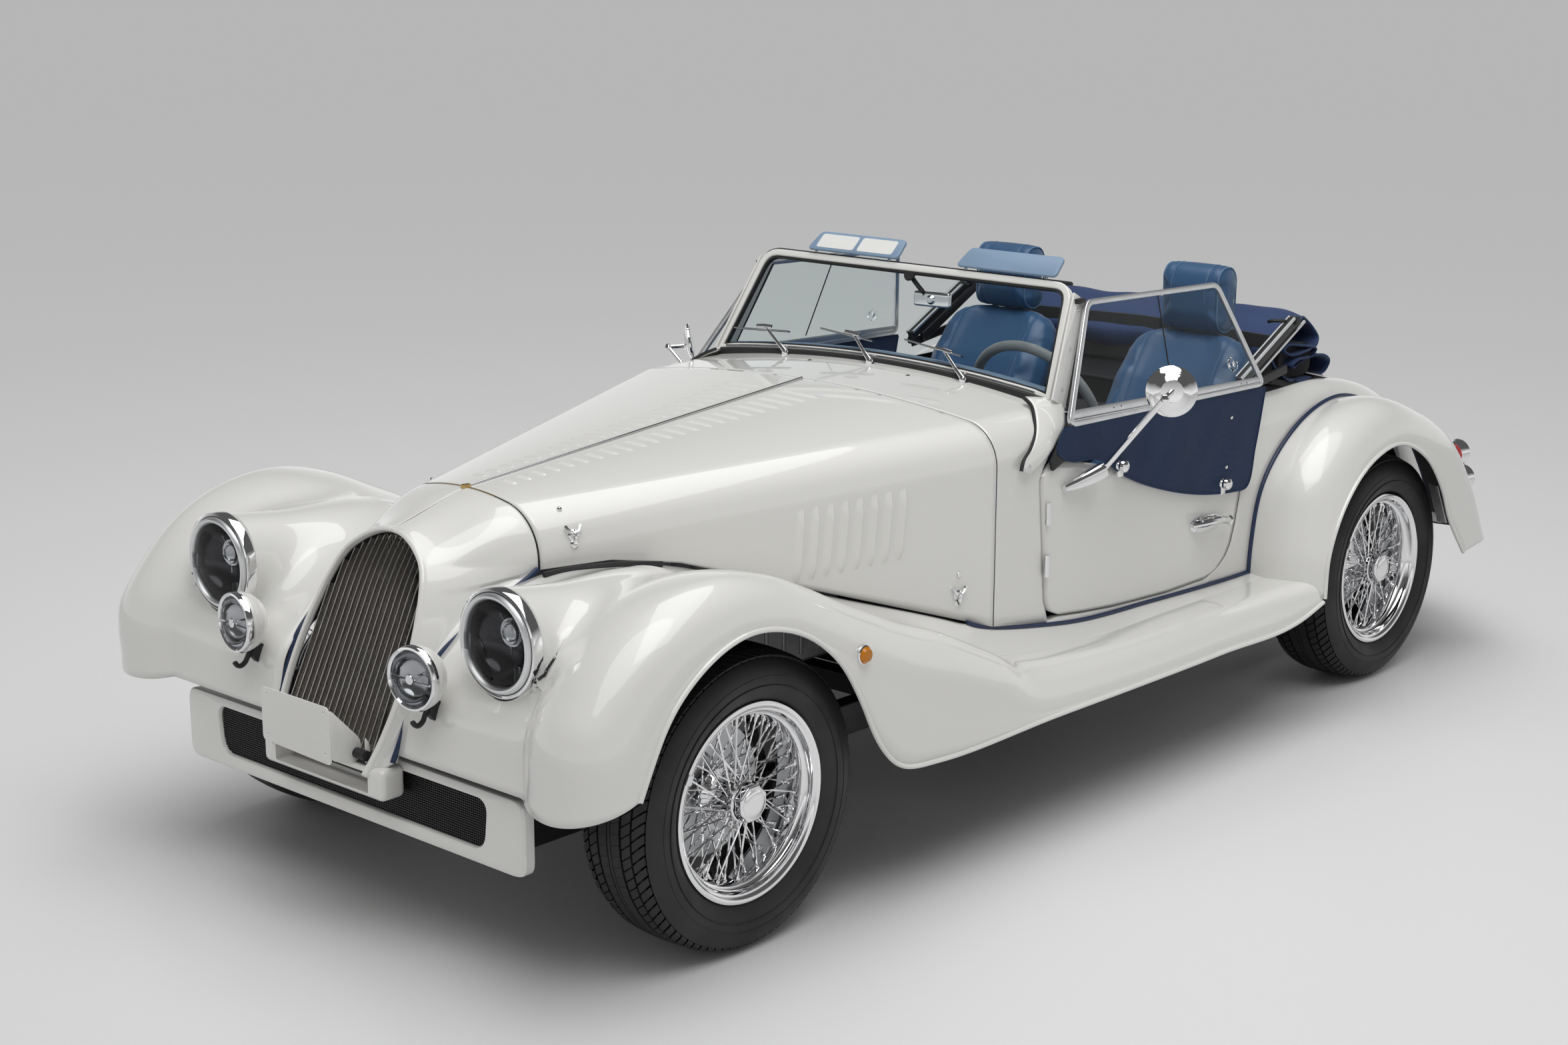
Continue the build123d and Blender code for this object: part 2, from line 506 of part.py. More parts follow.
# columns: pivot, knee above the frame, middle of the blade, half of the blade's length as (x, y, z)
WIPERS = [
    ((-288, -150, 955), (-330, -122, 990), (-407, -102, 994), (92, 2, 5)),
    ((0, -162, 968), (-30, -118, 1008), (-123, -93, 1010), (89, -4, -7)),
    ((288, -150, 955), (262, -122, 990), (157, -93, 1009), (92, -5, -10)),
]
WIPER_R = 3
wiper_parts = []
for pivot, knee, middle, half in WIPERS:
    blade = rod([m - h for m, h in zip(middle, half)], [m + h for m, h in zip(middle, half)], WIPER_R)
    wiper_parts.append(chain(pivot, knee, middle, WIPER_R) + blade)
parts["wipers"] = Compound(children=wiper_parts)

# ---- doors with their sidescreens and mirrors ----
DOOR_IN = BODY_HALF - 42
door_outline = [
    ThreePointArc((0, -238, 760), (0, -226, 793), (0, -190, 805)),
    ThreePointArc((0, -190, 805), (0, 230, 742), (0, DOOR_REAR_Y, 816)),
    Line((0, DOOR_REAR_Y, 816), (0, 600, 520)),
    ThreePointArc((0, 600, 520), (0, 562, 442), (0, 470, 402)),
    ThreePointArc((0, 470, 402), (0, 150, 405), (0, -160, 436)),
    ThreePointArc((0, -160, 436), (0, -196, 451), (0, -210, 484)),
    Line((0, -210, 484), (0, -238, 760)),
]
DOOR_HINGE_X, DOOR_HINGE_Y, DOOR_HINGE_R, DOOR_HINGE_HALF = 606, -222, 9, 26
door = plate_yz(door_outline, DOOR_IN, BODY_HALF)
for z in (565, 690):
    pin_low = (DOOR_HINGE_X, DOOR_HINGE_Y, z - DOOR_HINGE_HALF)
    pin_high = (DOOR_HINGE_X, DOOR_HINGE_Y, z + DOOR_HINGE_HALF)
    door += rod(pin_low, pin_high, DOOR_HINGE_R)
parts["door_left"] = door

SIDESCREEN_IN, SIDESCREEN_OUT = 604, 612
SIDESCREEN_LEAN = 18.5      # degrees that the frame leans inwards above the door
SIDESCREEN_X, SIDESCREEN_FOOT = 610, 880
PANE = 3
lean_plane = Plane(
    origin=(SIDESCREEN_X, 0, SIDESCREEN_FOOT), x_dir=(0, 1, 0),
    z_dir=(cos(radians(SIDESCREEN_LEAN)), 0, sin(radians(SIDESCREEN_LEAN))))


def leaning_plate(thickness, *points):
    """A plate in the leaning plane, from its corners as seen from the side."""
    rise = 1 / cos(radians(SIDESCREEN_LEAN))
    corners = [Vector(y, (z - SIDESCREEN_FOOT) * rise, 0) for y, z in points]
    face = make_face([Line(a, b) for a, b in zip(corners, corners[1:] + corners[:1])])
    return extrude(lean_plane * face, amount=thickness / 2, both=True)


frame_outer = leaning_plate(8, (-158, 880), (19, 1155), (590, 1141), (696, 866))
frame_hole = leaning_plate(40, (-112, 921), (31, 1137), (577, 1124), (668, 897))
skirt = outline_yz((-158, 886), (-175, 812), (-30, 795), (90, 735), (257, 690), (471, 640), (640, 640), (697, 872))
parts["sidescreen_left"] = frame_outer - frame_hole + plate_yz(skirt, SIDESCREEN_IN, SIDESCREEN_OUT)
parts["sidescreen_glass_left"] = leaning_plate(PANE, (-110.6, 921.8), (31.5, 1136.2), (576.3, 1123.2), (666.3, 898))

# columns: side, outer end of the arm, middle of the head, the way the head's back faces; each as if on the left
MIRRORS = [
    ("left", (770, -5, 952), (768, 26, 965), (0.60, -0.78, 0.17)),
    ("right", (800, -57, 899), (758, -14, 905), (0.72, -0.67, -0.18)),
]
MIRROR_R, MIRROR_HALF = 60, 8
for side, arm_end, middle, back in MIRRORS:
    arm = chain((606, -90, 740), (632, -44, 768), arm_end, middle, 7)
    front_face = [m - MIRROR_HALF * b for m, b in zip(middle, back)]
    back_face = [m + MIRROR_HALF * b for m, b in zip(middle, back)]
    made = arm + rod(front_face, back_face, MIRROR_R)
    parts[f"mirror_{side}"] = made if side == "left" else other_side(made)

# ---- seats and folded hood ----
SEAT_X = 315
# side outline of a seat: base, back's rear, headrest, back's front and cushion
SEAT_PROFILE = [
    (60, 280), (620, 280), (770, 738), (880, 940), (886, 1120), (862, 1147), (802, 1147), (780, 1118), (776, 925),
    (694, 740), (500, 430), (60, 420)]
HEADREST_HALF, HEADREST_FOOT = 88, 962
SEAT_HALF = 210
seat_body = plate_yz(outline_yz(*SEAT_PROFILE), SEAT_X - SEAT_HALF, SEAT_X + SEAT_HALF)
beside_inner = box(SEAT_X - 400, SEAT_X - HEADREST_HALF, 600, 1000, HEADREST_FOOT, 1200)
beside_outer = box(SEAT_X + HEADREST_HALF, SEAT_X + 400, 600, 1000, HEADREST_FOOT, 1200)
parts["seat_left"] = seat_body - beside_inner - beside_outer
HOOD_HALF = 462
hood_profile = outline_yz(
    (1070, 812), (1016, 838), (990, 890), (1030, 950), (1145, 978), (1213, 928), (1300, 845), (1298, 806.5),
    (1187, 829), (1186, 812))
parts["folded_hood"] = plate_yz(hood_profile, -HOOD_HALF, HOOD_HALF)
rail_a = chain((548, 690, 852), (548, 940, 1005), 9)
rail_b = chain((548, 730, 852), (548, 985, 985), 9)
parts["hood_frame"] = Compound(children=[rail_a, other_side(rail_a), rail_b, other_side(rail_b)])

# ---- steering ----
WHEEL_CENTRE = Vector(300, 140, 850)
COLUMN_LEAN = 25
column_dir = Vector(0, cos(radians(COLUMN_LEAN)), sin(radians(COLUMN_LEAN)))
wheel_plane = Plane(origin=WHEEL_CENTRE, x_dir=(1, 0, 0), z_dir=column_dir)
STEER_RIM_R = 180
steer_rim = wheel_plane * Torus(STEER_RIM_R, 14)
steer_hub = Solid.make_cylinder(32, 40, Plane(origin=WHEEL_CENTRE - column_dir * 45, z_dir=column_dir))
spokes = []
for turn in (90, 210, 330):
    tip = wheel_plane.from_local_coords(Vector(STEER_RIM_R * cos(radians(turn)), STEER_RIM_R * sin(radians(turn)), 0))
    spokes.append(rod(tuple(WHEEL_CENTRE - column_dir * 20), tuple(tip), 8))
parts["steering_wheel"] = fuse([steer_hub, steer_rim, *spokes])
column_start = WHEEL_CENTRE - column_dir * 50
column_end = WHEEL_CENTRE - column_dir * 215
steering_column = rod(tuple(column_end), tuple(column_start), 24)
parts["steering_column"] = steering_column
parts["dashboard"] = dashboard - steering_column

# ---- steered uprights and wheels ----
upright = rod((STEER_AXIS_X, FRONT_AXLE_Y, ARM_LOW_Z + 11), (STEER_AXIS_X, FRONT_AXLE_Y, ARM_HIGH_Z - 11), 15)
carrier = box(STEER_AXIS_X - 30, HUB_INNER_X - 3, FRONT_AXLE_Y - 40, FRONT_AXLE_Y + 40, AXLE_Z - 40, AXLE_Z + 40)
spindle = rod((HUB_INNER_X - 4, FRONT_AXLE_Y, AXLE_Z), (SPINDLE_END_X, FRONT_AXLE_Y, AXLE_Z), SPINDLE_R)
steer_arm = plate_xy([
    (STEER_AXIS_X - 16, FRONT_AXLE_Y + 20), (STEER_AXIS_X + 6, FRONT_AXLE_Y + 20),
    (STEER_AXIS_X - 18, RACK_Y), (STEER_AXIS_X - 42, RACK_Y)], RACK_Z - 9, RACK_Z + 9)
DISC_X, DISC_R = 586, 139
caliper = box(DISC_X - 22, DISC_X + 26, FRONT_AXLE_Y - 162, FRONT_AXLE_Y - 96, AXLE_Z - 45, AXLE_Z + 45)
caliper -= rod((DISC_X - 5, FRONT_AXLE_Y, AXLE_Z), (DISC_X + 16, FRONT_AXLE_Y, AXLE_Z), DISC_R + 6)
caliper_arm = plate_xy([
    (STEER_AXIS_X - 16, FRONT_AXLE_Y - 20), (STEER_AXIS_X + 8, FRONT_AXLE_Y - 20),
    (DISC_X - 10, FRONT_AXLE_Y - 140), (DISC_X - 22, FRONT_AXLE_Y - 140)], AXLE_Z - 14, AXLE_Z + 14)
parts["knuckle_left"] = fuse([upright, carrier, spindle, steer_arm, caliper, caliper_arm])


def about_x(points_edges):
    """Revolve an outline drawn in X and Z about the wheel's own axis, at the origin."""
    return revolve(make_face(points_edges), Axis.X)


def polyline_xz(*points):
    corners = [Vector(x, 0, z) for x, z in points]
    return [Line(a, b) for a, b in zip(corners, corners[1:] + corners[:1])]


tyre = about_x([
    Line((-70, 0, RIM_SEAT_R), (-78, 0, 205)),
    ThreePointArc((-78, 0, 205), (-TYRE_HALF_WIDTH, 0, 248), (-84, 0, 296)),
    ThreePointArc((-84, 0, 296), (-77, 0, 304), (-66, 0, 308)),
    ThreePointArc((-66, 0, 308), (0, 0, TYRE_R), (66, 0, 308)),
    ThreePointArc((66, 0, 308), (77, 0, 304), (84, 0, 296)),
    ThreePointArc((84, 0, 296), (TYRE_HALF_WIDTH, 0, 248), (78, 0, 205)),
    Line((78, 0, 205), (70, 0, RIM_SEAT_R)),
    Line((70, 0, RIM_SEAT_R), (-70, 0, RIM_SEAT_R)),
])
RIM_HALF = 86
rim = about_x(polyline_xz(
    (-RIM_HALF, 207), (-RIM_HALF, 190), (-60, 182), (-34, 172), (30, 172), (56, 182), (RIM_HALF, 190),
    (RIM_HALF, 207), (RIM_HALF - 5, 207), (RIM_HALF - 5, RIM_SEAT_R), (-RIM_HALF + 5, RIM_SEAT_R), (-RIM_HALF + 5, 207)))
hub = about_x(polyline_xz(
    (HUB_INNER_X - WHEEL_X, SPINDLE_R + 0.05), (HUB_INNER_X - WHEEL_X, 60), (-44, 60), (-40, 36), (66, 34), (66, 0),
    (SPINDLE_END_X - WHEEL_X + 2, 0), (SPINDLE_END_X - WHEEL_X + 2, SPINDLE_R + 0.05)))
disc = about_x(polyline_xz((-44, 50), (-44, DISC_R), (-32, DISC_R), (-32, 50)))
knock_off = Rot(0, 90, 0) * extrude(RegularPolygon(38, 8), amount=26)
knock_off = Pos(66, 0, 0) * knock_off
# wire spokes: hub_x, hub_r, rim_x, rim_r, count, lean in degrees
SPOKES = [
    (58, 33, 42, 177, 36, 34),
    (-6, 44, 12, 173, 36, 46),
]
SPOKE_R = 2.2
spoke_flange = about_x(polyline_xz((-14, 34), (-14, 48), (-4, 48), (6, 34)))
wires = []
for hub_x, hub_r, rim_x, rim_r, count, lean in SPOKES:
    for index in range(count):
        turn = radians(360 * index / count)
        foot = turn + radians(lean if index % 2 else -lean)
        wires.append(rod((hub_x, hub_r * cos(foot), hub_r * sin(foot)), (rim_x, rim_r * cos(turn), rim_r * sin(turn)), SPOKE_R))
wire_wheel = fuse([rim, hub, disc, knock_off, spoke_flange]).fuse(*wires)
parts_wheel = {"tyre": tyre, "wire_wheel": wire_wheel}

for end, axle_y in (("front", FRONT_AXLE_Y), ("rear", REAR_AXLE_Y)):
    for name, shape in parts_wheel.items():
        placed = Pos(WHEEL_X, axle_y, AXLE_Z) * shape
        parts[f"{name}_{end}_left"] = placed
        parts[f"{name}_{end}_right"] = other_side(placed)

# rear lamps and number plate plinth
plinth = box(-150, 150, 1868, HALF_LENGTH, 320, 420)
parts["rear_plinth"] = plinth
tail_lamp = rod((690, 1600, 560), (690, 1640, 560), 36) - rear_wing_outer
tail_lamp_low = rod((690, 1640, 480), (690, 1680, 480), 36) - rear_wing_outer
parts["tail_lamps"] = Compound(children=[tail_lamp, tail_lamp_low, other_side(tail_lamp), other_side(tail_lamp_low)])

for name in ("front_wing", "rear_wing", "bonnet", "door", "sidescreen", "sidescreen_glass", "seat", "knuckle"):
    parts[f"{name}_right"] = other_side(parts[f"{name}_left"])

os.makedirs("parts", exist_ok=True)
for name, shape in parts.items():
    export_step(shape, f"parts/{name}.step")
print(len(parts), "parts")
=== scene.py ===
# %% [markdown]
# # Dressing a roadster on its solid frame
# The frame is the car's engineering model: every node is a real part at its real place, in metres, with
# the nose towards -Y, the car's left towards +X and the ground at Z = 0. The visible car is built around
# it: smooth bodywork over the plain shells, then wheels, lamps, trim, leather and cloth. The frame is
# loaded first.

# %% Load the frame
import json
from bisect import bisect
from functools import lru_cache
from math import acos, atan, cos, exp, hypot, pi, radians, sin, tan

import bmesh
import bpy
from mathutils import Matrix, Vector
from mathutils.bvhtree import BVHTree

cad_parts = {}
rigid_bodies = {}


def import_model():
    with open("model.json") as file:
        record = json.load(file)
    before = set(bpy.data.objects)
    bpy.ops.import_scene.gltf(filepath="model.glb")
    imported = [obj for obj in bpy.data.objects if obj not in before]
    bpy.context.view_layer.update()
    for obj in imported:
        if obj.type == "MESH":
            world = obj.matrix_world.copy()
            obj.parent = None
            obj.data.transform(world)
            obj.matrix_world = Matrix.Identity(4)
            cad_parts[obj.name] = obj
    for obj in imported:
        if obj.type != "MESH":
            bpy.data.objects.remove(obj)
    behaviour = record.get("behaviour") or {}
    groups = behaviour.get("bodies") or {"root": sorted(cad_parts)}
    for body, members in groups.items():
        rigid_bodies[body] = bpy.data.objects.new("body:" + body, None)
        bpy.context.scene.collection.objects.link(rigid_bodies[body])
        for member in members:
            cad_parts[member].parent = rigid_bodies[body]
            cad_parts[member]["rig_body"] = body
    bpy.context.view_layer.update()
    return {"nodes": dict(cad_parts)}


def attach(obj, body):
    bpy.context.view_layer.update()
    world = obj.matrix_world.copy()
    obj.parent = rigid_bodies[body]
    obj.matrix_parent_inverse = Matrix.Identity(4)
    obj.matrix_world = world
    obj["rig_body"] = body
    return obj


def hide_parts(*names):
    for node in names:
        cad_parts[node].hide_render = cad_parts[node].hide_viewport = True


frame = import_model()

# %% [markdown]
# ## Helpers
# Body drawings are in millimetres, so a helper turns them into metres. Every piece starts as a bmesh:
# a grid that is bent into a panel, a profile that is spun, an outline that is extruded, or a bar that
# follows a path. One helper then finishes it in the same way each time: doubles merged, faces pointing
# outwards, smooth shading with sharp edges kept, and the piece set riding on its body.

# %% Points and grids
MM = 0.001
SIDES = (("left", 1), ("right", -1))
UP, FORWARD, REARWARD, OUTWARD = (0, 0, 1), (0, -1, 0), (0, 1, 0), (1, 0, 0)


def at(x, y, z):
    """A point of the car, given in millimetres."""
    return Vector((x, y, z)) * MM


def merged(bm):
    """Joins vertices that lie within a hundredth of a millimetre of each other."""
    bmesh.ops.remove_doubles(bm, verts=bm.verts[:], dist=1e-5)
    return bm


def outwards(bm):
    """Turns the faces so that they point outwards."""
    bmesh.ops.recalc_face_normals(bm, faces=bm.faces[:])
    return bm


def in_scene(bm, name):
    """Uses a bmesh up as the mesh of a new object in the scene."""
    mesh = bpy.data.meshes.new(name)
    bm.to_mesh(mesh)
    bm.free()
    made = bpy.data.objects.new(name, mesh)
    bpy.context.scene.collection.objects.link(made)
    return made


def sheet(rows, columns, place):
    """A grid of quads; place(u, v) says where each corner goes, with u and v from 0 to 1."""
    bm = bmesh.new()
    bmesh.ops.create_grid(bm, x_segments=rows, y_segments=columns, size=0.5)
    for vert in bm.verts:
        vert.co = at(*place(vert.co.x + 0.5, vert.co.y + 0.5))
    return bm

# %% Turned parts
def turned(profile, centre, axis=UP, steps=48, closed=False):
    """A turned shape: (along, radius) pairs in millimetres, spun about an axis."""
    bm = bmesh.new()
    verts = [bm.verts.new((radius * MM, 0, along * MM)) for along, radius in profile]
    for first, second in zip(verts, verts[1:] + (verts[:1] if closed else [])):
        bm.edges.new((first, second))
    bmesh.ops.spin(bm, geom=bm.verts[:] + bm.edges[:], axis=UP, cent=(0, 0, 0), angle=2 * pi,
                   steps=steps, use_merge=True)
    merged(bm)
    turn = Vector(UP).rotation_difference(Vector(axis)).to_matrix().to_4x4()
    bmesh.ops.transform(bm, matrix=Matrix.Translation(at(*centre)) @ turn, verts=bm.verts[:])
    return bm

# %% Tubes
def tube(points, radius, closed=False, bend=True, detail=1, smooth=6):
    """A round bar along points in millimetres. With bend, corners are rounded."""
    curve = bpy.data.curves.new("path", "CURVE")
    curve.dimensions = "3D"
    curve.bevel_depth = radius * MM
    curve.bevel_resolution = detail
    curve.use_fill_caps = True
    curve.resolution_u = smooth
    spline = curve.splines.new("NURBS" if bend else "POLY")
    spline.points.add(len(points) - 1)
    for knot, place in zip(spline.points, points):
        knot.co = (*at(*place), 1)
    spline.use_cyclic_u = closed
    spline.use_endpoint_u = not closed
    spline.order_u = 3
    holder = bpy.data.objects.new("path", curve)
    mesh = bpy.data.meshes.new_from_object(holder)
    bm = bmesh.new()
    bm.from_mesh(mesh)
    bpy.data.objects.remove(holder)
    bpy.data.curves.remove(curve)
    bpy.data.meshes.remove(mesh)
    return bm

# %% Blocks and rounded edges
def block(x0, x1, y0, y1, z0, z1, round_off=1.0, segments=2):
    """A box between two corners, with rounded edges."""
    bm = bmesh.new()
    bmesh.ops.create_cube(bm, size=1)
    bmesh.ops.scale(bm, vec=at(x1 - x0, y1 - y0, z1 - z0), verts=bm.verts[:])
    bmesh.ops.translate(bm, vec=at((x0 + x1) / 2, (y0 + y1) / 2, (z0 + z1) / 2), verts=bm.verts[:])
    rounded(bm, round_off, segments)
    return bm


def rounded(bm, width, segments=2, angle=30):
    """Rounds the edges where two faces meet at more than an angle."""
    edges = [e for e in bm.edges if e.is_manifold and e.calc_face_angle() > radians(angle)]
    bmesh.ops.bevel(bm, geom=edges, offset=width * MM, offset_type="OFFSET", affect="EDGES",
                    segments=segments, profile=0.5, material=-1, clamp_overlap=True)

# %% Plates
def plate(outline, depth, round_off=0.0, segments=2):
    """A flat plate: an outline of points in millimetres, thickened by the vector depth."""
    bm = bmesh.new()
    face = bm.faces.new([bm.verts.new(at(*p)) for p in outline])
    grown = bmesh.ops.extrude_face_region(bm, geom=[face], use_keep_orig=True)
    new = [g for g in grown["geom"] if isinstance(g, bmesh.types.BMVert)]
    bmesh.ops.translate(bm, vec=at(*depth), verts=new)
    if round_off:
        rounded(bm, round_off, segments)
    return bm


def oblong(width, height, corner=1.0, steps=3):
    """The outline of a rounded bar: pairs across and up, round its middle."""
    corner = min(corner, width / 2 - 0.01, height / 2 - 0.01)
    points = []
    for quarter, (sx, sy) in enumerate(((1, 1), (-1, 1), (-1, -1), (1, -1))):
        for i in range(steps + 1):
            turn = pi / 2 * (quarter + i / steps)
            points.append((sx * (width / 2 - corner) + corner * cos(turn),
                           sy * (height / 2 - corner) + corner * sin(turn)))
    return points

# %% Paths with round corners
def rounded_path(points, radius, closed=False, steps=6):
    """A path whose corners are rounded; every path of as many points gets as many again."""
    points = [Vector(p) for p in points]
    path = []
    for i, point in enumerate(points):
        if not closed and i in (0, len(points) - 1):
            path.append(point)
            continue
        before, after = points[i - 1], points[(i + 1) % len(points)]
        reach = min(radius, (before - point).length * 0.49, (after - point).length * 0.49)
        start = point + (before - point).normalized() * reach
        end = point + (after - point).normalized() * reach
        for k in range(steps + 1):
            t = k / steps
            path.append(start * (1 - t)**2 + point * 2 * t * (1 - t) + end * t * t)
    return path

# %% Lofts, bars and hoops
def lofted(rows, columns, place, ends=True):
    """A grid rolled up until its sides meet, as a tube of any section; open ends are filled."""
    bm = merged(sheet(rows, columns, place))
    if ends:
        bmesh.ops.holes_fill(bm, edges=bm.edges[:], sides=0)
    return bm


def bar(points, section, up=UP, closed=False, scale=None):
    """Sweeps a section of (across, up) pairs along a path. scale(share) gives its (width, height) factors."""
    points, up = [Vector(p) for p in points], Vector(up)
    frames, count, sides = [], len(points), len(section)
    for i, point in enumerate(points):
        run = Vector()
        if i or closed:
            run += (point - points[i - 1]).normalized()
        if i + 1 < count or closed:
            run += (points[(i + 1) % count] - point).normalized()
        side = run.cross(up).normalized()
        wide, high = scale(i / (count - 1)) if scale else (1, 1)
        frames.append((point, side * wide, side.cross(run).normalized() * high))
    rows = count if closed else count - 1

    def place(along, around):
        point, side, top = frames[round(along * rows) % count]
        a, b = section[round(around * sides) % sides]
        return point + side * a + top * b
    return lofted(rows, sides, place, not closed)


def hoop(outer, inner, levels):
    """A closed frame between two outlines of as many points: levels are (share inwards, offset vector)."""
    def place(along, around):
        i = round(along * len(outer)) % len(outer)
        share, offset = levels[round(around * len(levels)) % len(levels)]
        return Vector(outer[i]).lerp(Vector(inner[i]), share) + Vector(offset)
    return lofted(len(outer), len(levels), place, False)

# %% Screws
def screw(centre, out, radius=4.5, height=2.2):
    """A small domed screw head."""
    return turned([(-1, 0), (-1, radius), (height * 0.3, radius), (height * 0.8, radius * 0.75),
                   (height, radius * 0.3),
                   (height, 0)], centre, out, 12)

# %% Joined shapes and mirror images
def joined(*shapes):
    """Several bmeshes as one."""
    whole = bmesh.new()
    for shape in shapes:
        mesh = bpy.data.meshes.new("part")
        shape.to_mesh(mesh)
        shape.free()
        whole.from_mesh(mesh)
        bpy.data.meshes.remove(mesh)
    return whole


def moved(bm, matrix):
    """Moves a whole shape."""
    bmesh.ops.transform(bm, matrix=matrix, verts=bm.verts[:])
    return bm


def mirrored(bm):
    """The mirror image across the middle of the car."""
    copy = bm.copy()
    bmesh.ops.scale(copy, vec=(-1, 1, 1), verts=copy.verts[:])
    bmesh.ops.reverse_faces(copy, faces=copy.faces[:])
    return copy


def both(bm):
    """A shape with its mirror image."""
    return joined(bm, mirrored(bm))


def eased(bm, verts, times):
    """Smooths some vertices a few times."""
    for _ in range(times):
        bmesh.ops.smooth_vert(bm, verts=verts, factor=0.5, use_axis_x=True, use_axis_y=True, use_axis_z=True)

# %% Finished pieces
def piece(name, bm, finishes, body="chassis", hides=(), sharp=32, out=None, wall=0.0):
    """A bmesh becomes a finished piece that rides on a body and may stand for frame nodes.

    out is the way that an open panel faces; wall is its thickness, with the second finish on its back."""
    finishes = finishes if isinstance(finishes, list) else [finishes]
    bmesh.ops.remove_doubles(bm, verts=bm.verts[:], dist=2e-5)
    outwards(bm)
    if out is not None:
        facing = sum((f.normal * f.calc_area() for f in bm.faces), Vector())
        if facing.dot(Vector(out)) < 0:
            bmesh.ops.reverse_faces(bm, faces=bm.faces[:])
    made = in_scene(bm, name)
    for finish in finishes:
        made.data.materials.append(finish)
    made.data.shade_smooth()
    made.data.set_sharp_from_angle(angle=radians(sharp))
    if wall:
        thick = made.modifiers.new("wall", "SOLIDIFY")
        thick.thickness, thick.offset, thick.material_offset = wall * MM, -1, len(finishes) - 1
    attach(made, body)
    if hides:
        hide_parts(*hides)
    print(f"{name}: {len(made.data.polygons)} faces, {finishes[0].name}, on {body}")
    return made

# %% Pieces on both sides
def pair(name, bm, finishes, body="chassis", hides=(), out=None, **rest):
    """The left piece and its mirror image; {side} in a name is filled in, and a node without it goes left."""
    made = []
    for (side, sign), shape in zip(SIDES, (bm, mirrored(bm))):
        facing = out and (out[0] * sign, out[1], out[2])
        nodes = [node.format(side=side) for node in hides if sign > 0 or "{" in node]
        made.append(piece(f"{name}_{side}", shape, finishes, body.format(side=side), nodes, out=facing,
                          **rest))
    return made


def softened(node, finishes, width=1.2):
    """A smooth copy of a frame node: triangles merged into flat faces, edges rounded."""
    bm = bmesh.new()
    bm.from_mesh(frame["nodes"][node].data)
    merged(bm)
    bmesh.ops.dissolve_limit(bm, angle_limit=radians(1), verts=bm.verts[:], edges=bm.edges[:])
    made = piece(f"{node}_finish", bm, finishes, frame["nodes"][node]["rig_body"], [node])
    if width:
        edge = made.modifiers.new("edge", "BEVEL")
        edge.width, edge.segments = width * MM, 2
        edge.limit_method, edge.angle_limit = "ANGLE", radians(40)

# %% [markdown]
# Body panels are drawn from a few measured sections. The ones between are not straight mixes but follow a
# Hermite curve through the rows, so that a highlight runs along the panel without a kink at a row.

# %% Smooth rows
def mix(a, b, share):
    """The value at a share of the way from a to b."""
    return a + (b - a) * share


def smooth_row(rows, share):
    """A row between the rows of a table: every column follows a smooth curve through them."""
    steps = [hypot(*(b - a for a, b in zip(first[:4], second[:4]))) for first, second in zip(rows, rows[1:])]
    places = [0.0]
    for step in steps:
        places.append(places[-1] + step)
    where = share * places[-1]
    index = next((i for i in range(len(steps) - 1) if where <= places[i + 1]), len(steps) - 1)
    span = steps[index]
    t = (where - places[index]) / span

    def slope(i, column):
        if i in (0, len(rows) - 1):
            near = 1 if i == 0 else i
            return (rows[near][column] - rows[near - 1][column]) / steps[near - 1]
        before = (rows[i][column] - rows[i - 1][column]) / steps[i - 1]
        after = (rows[i + 1][column] - rows[i][column]) / steps[i]
        return (before * steps[i] + after * steps[i - 1]) / (steps[i - 1] + steps[i])

    def value(column):
        a, b = rows[index][column], rows[index + 1][column]
        rise_a, rise_b = slope(index, column) * span, slope(index + 1, column) * span
        return ((2 * t**3 - 3 * t**2 + 1) * a + (t**3 - 2 * t**2 + t) * rise_a
                + (3 * t**2 - 2 * t**3) * b + (t**3 - t**2) * rise_b)
    return [value(column) for column in range(len(rows[0]))]

# %% [markdown]
# ## Finishes
# A finish on a real car is never one flat colour. The paint has a faint pearl and the slight ripple of
# sprayed lacquer, leather has grain, cloth has threads, tyres have a mottled tone. Effects that several
# finishes share are node groups with named inputs; each material places a group with its own values and
# keeps its own shader. All patterns read Object coordinates, so they stay put when a door or wheel moves.

# %% Node helpers
def node(tree, kind, inputs=None, **settings):
    """Adds a shader node; an input is a value or another node's output."""
    made = tree.nodes.new(f"ShaderNode{kind}")
    for name, value in settings.items():
        setattr(made, name, value)
    for name, value in (inputs or {}).items():
        if isinstance(value, bpy.types.NodeSocket):
            tree.links.new(value, made.inputs[name])
        else:
            made.inputs[name].default_value = value
    return made


def group(name, inputs, outputs):
    """An empty node group with named sockets, and its two end nodes."""
    tree = bpy.data.node_groups.new(name, "ShaderNodeTree")
    for label, kind, default in inputs:
        tree.interface.new_socket(name=label, in_out="INPUT", socket_type=kind).default_value = default
    for label, kind in outputs:
        tree.interface.new_socket(name=label, in_out="OUTPUT", socket_type=kind)
    start = tree.nodes.new("NodeGroupInput")
    end = tree.nodes.new("NodeGroupOutput")
    return tree, start, end

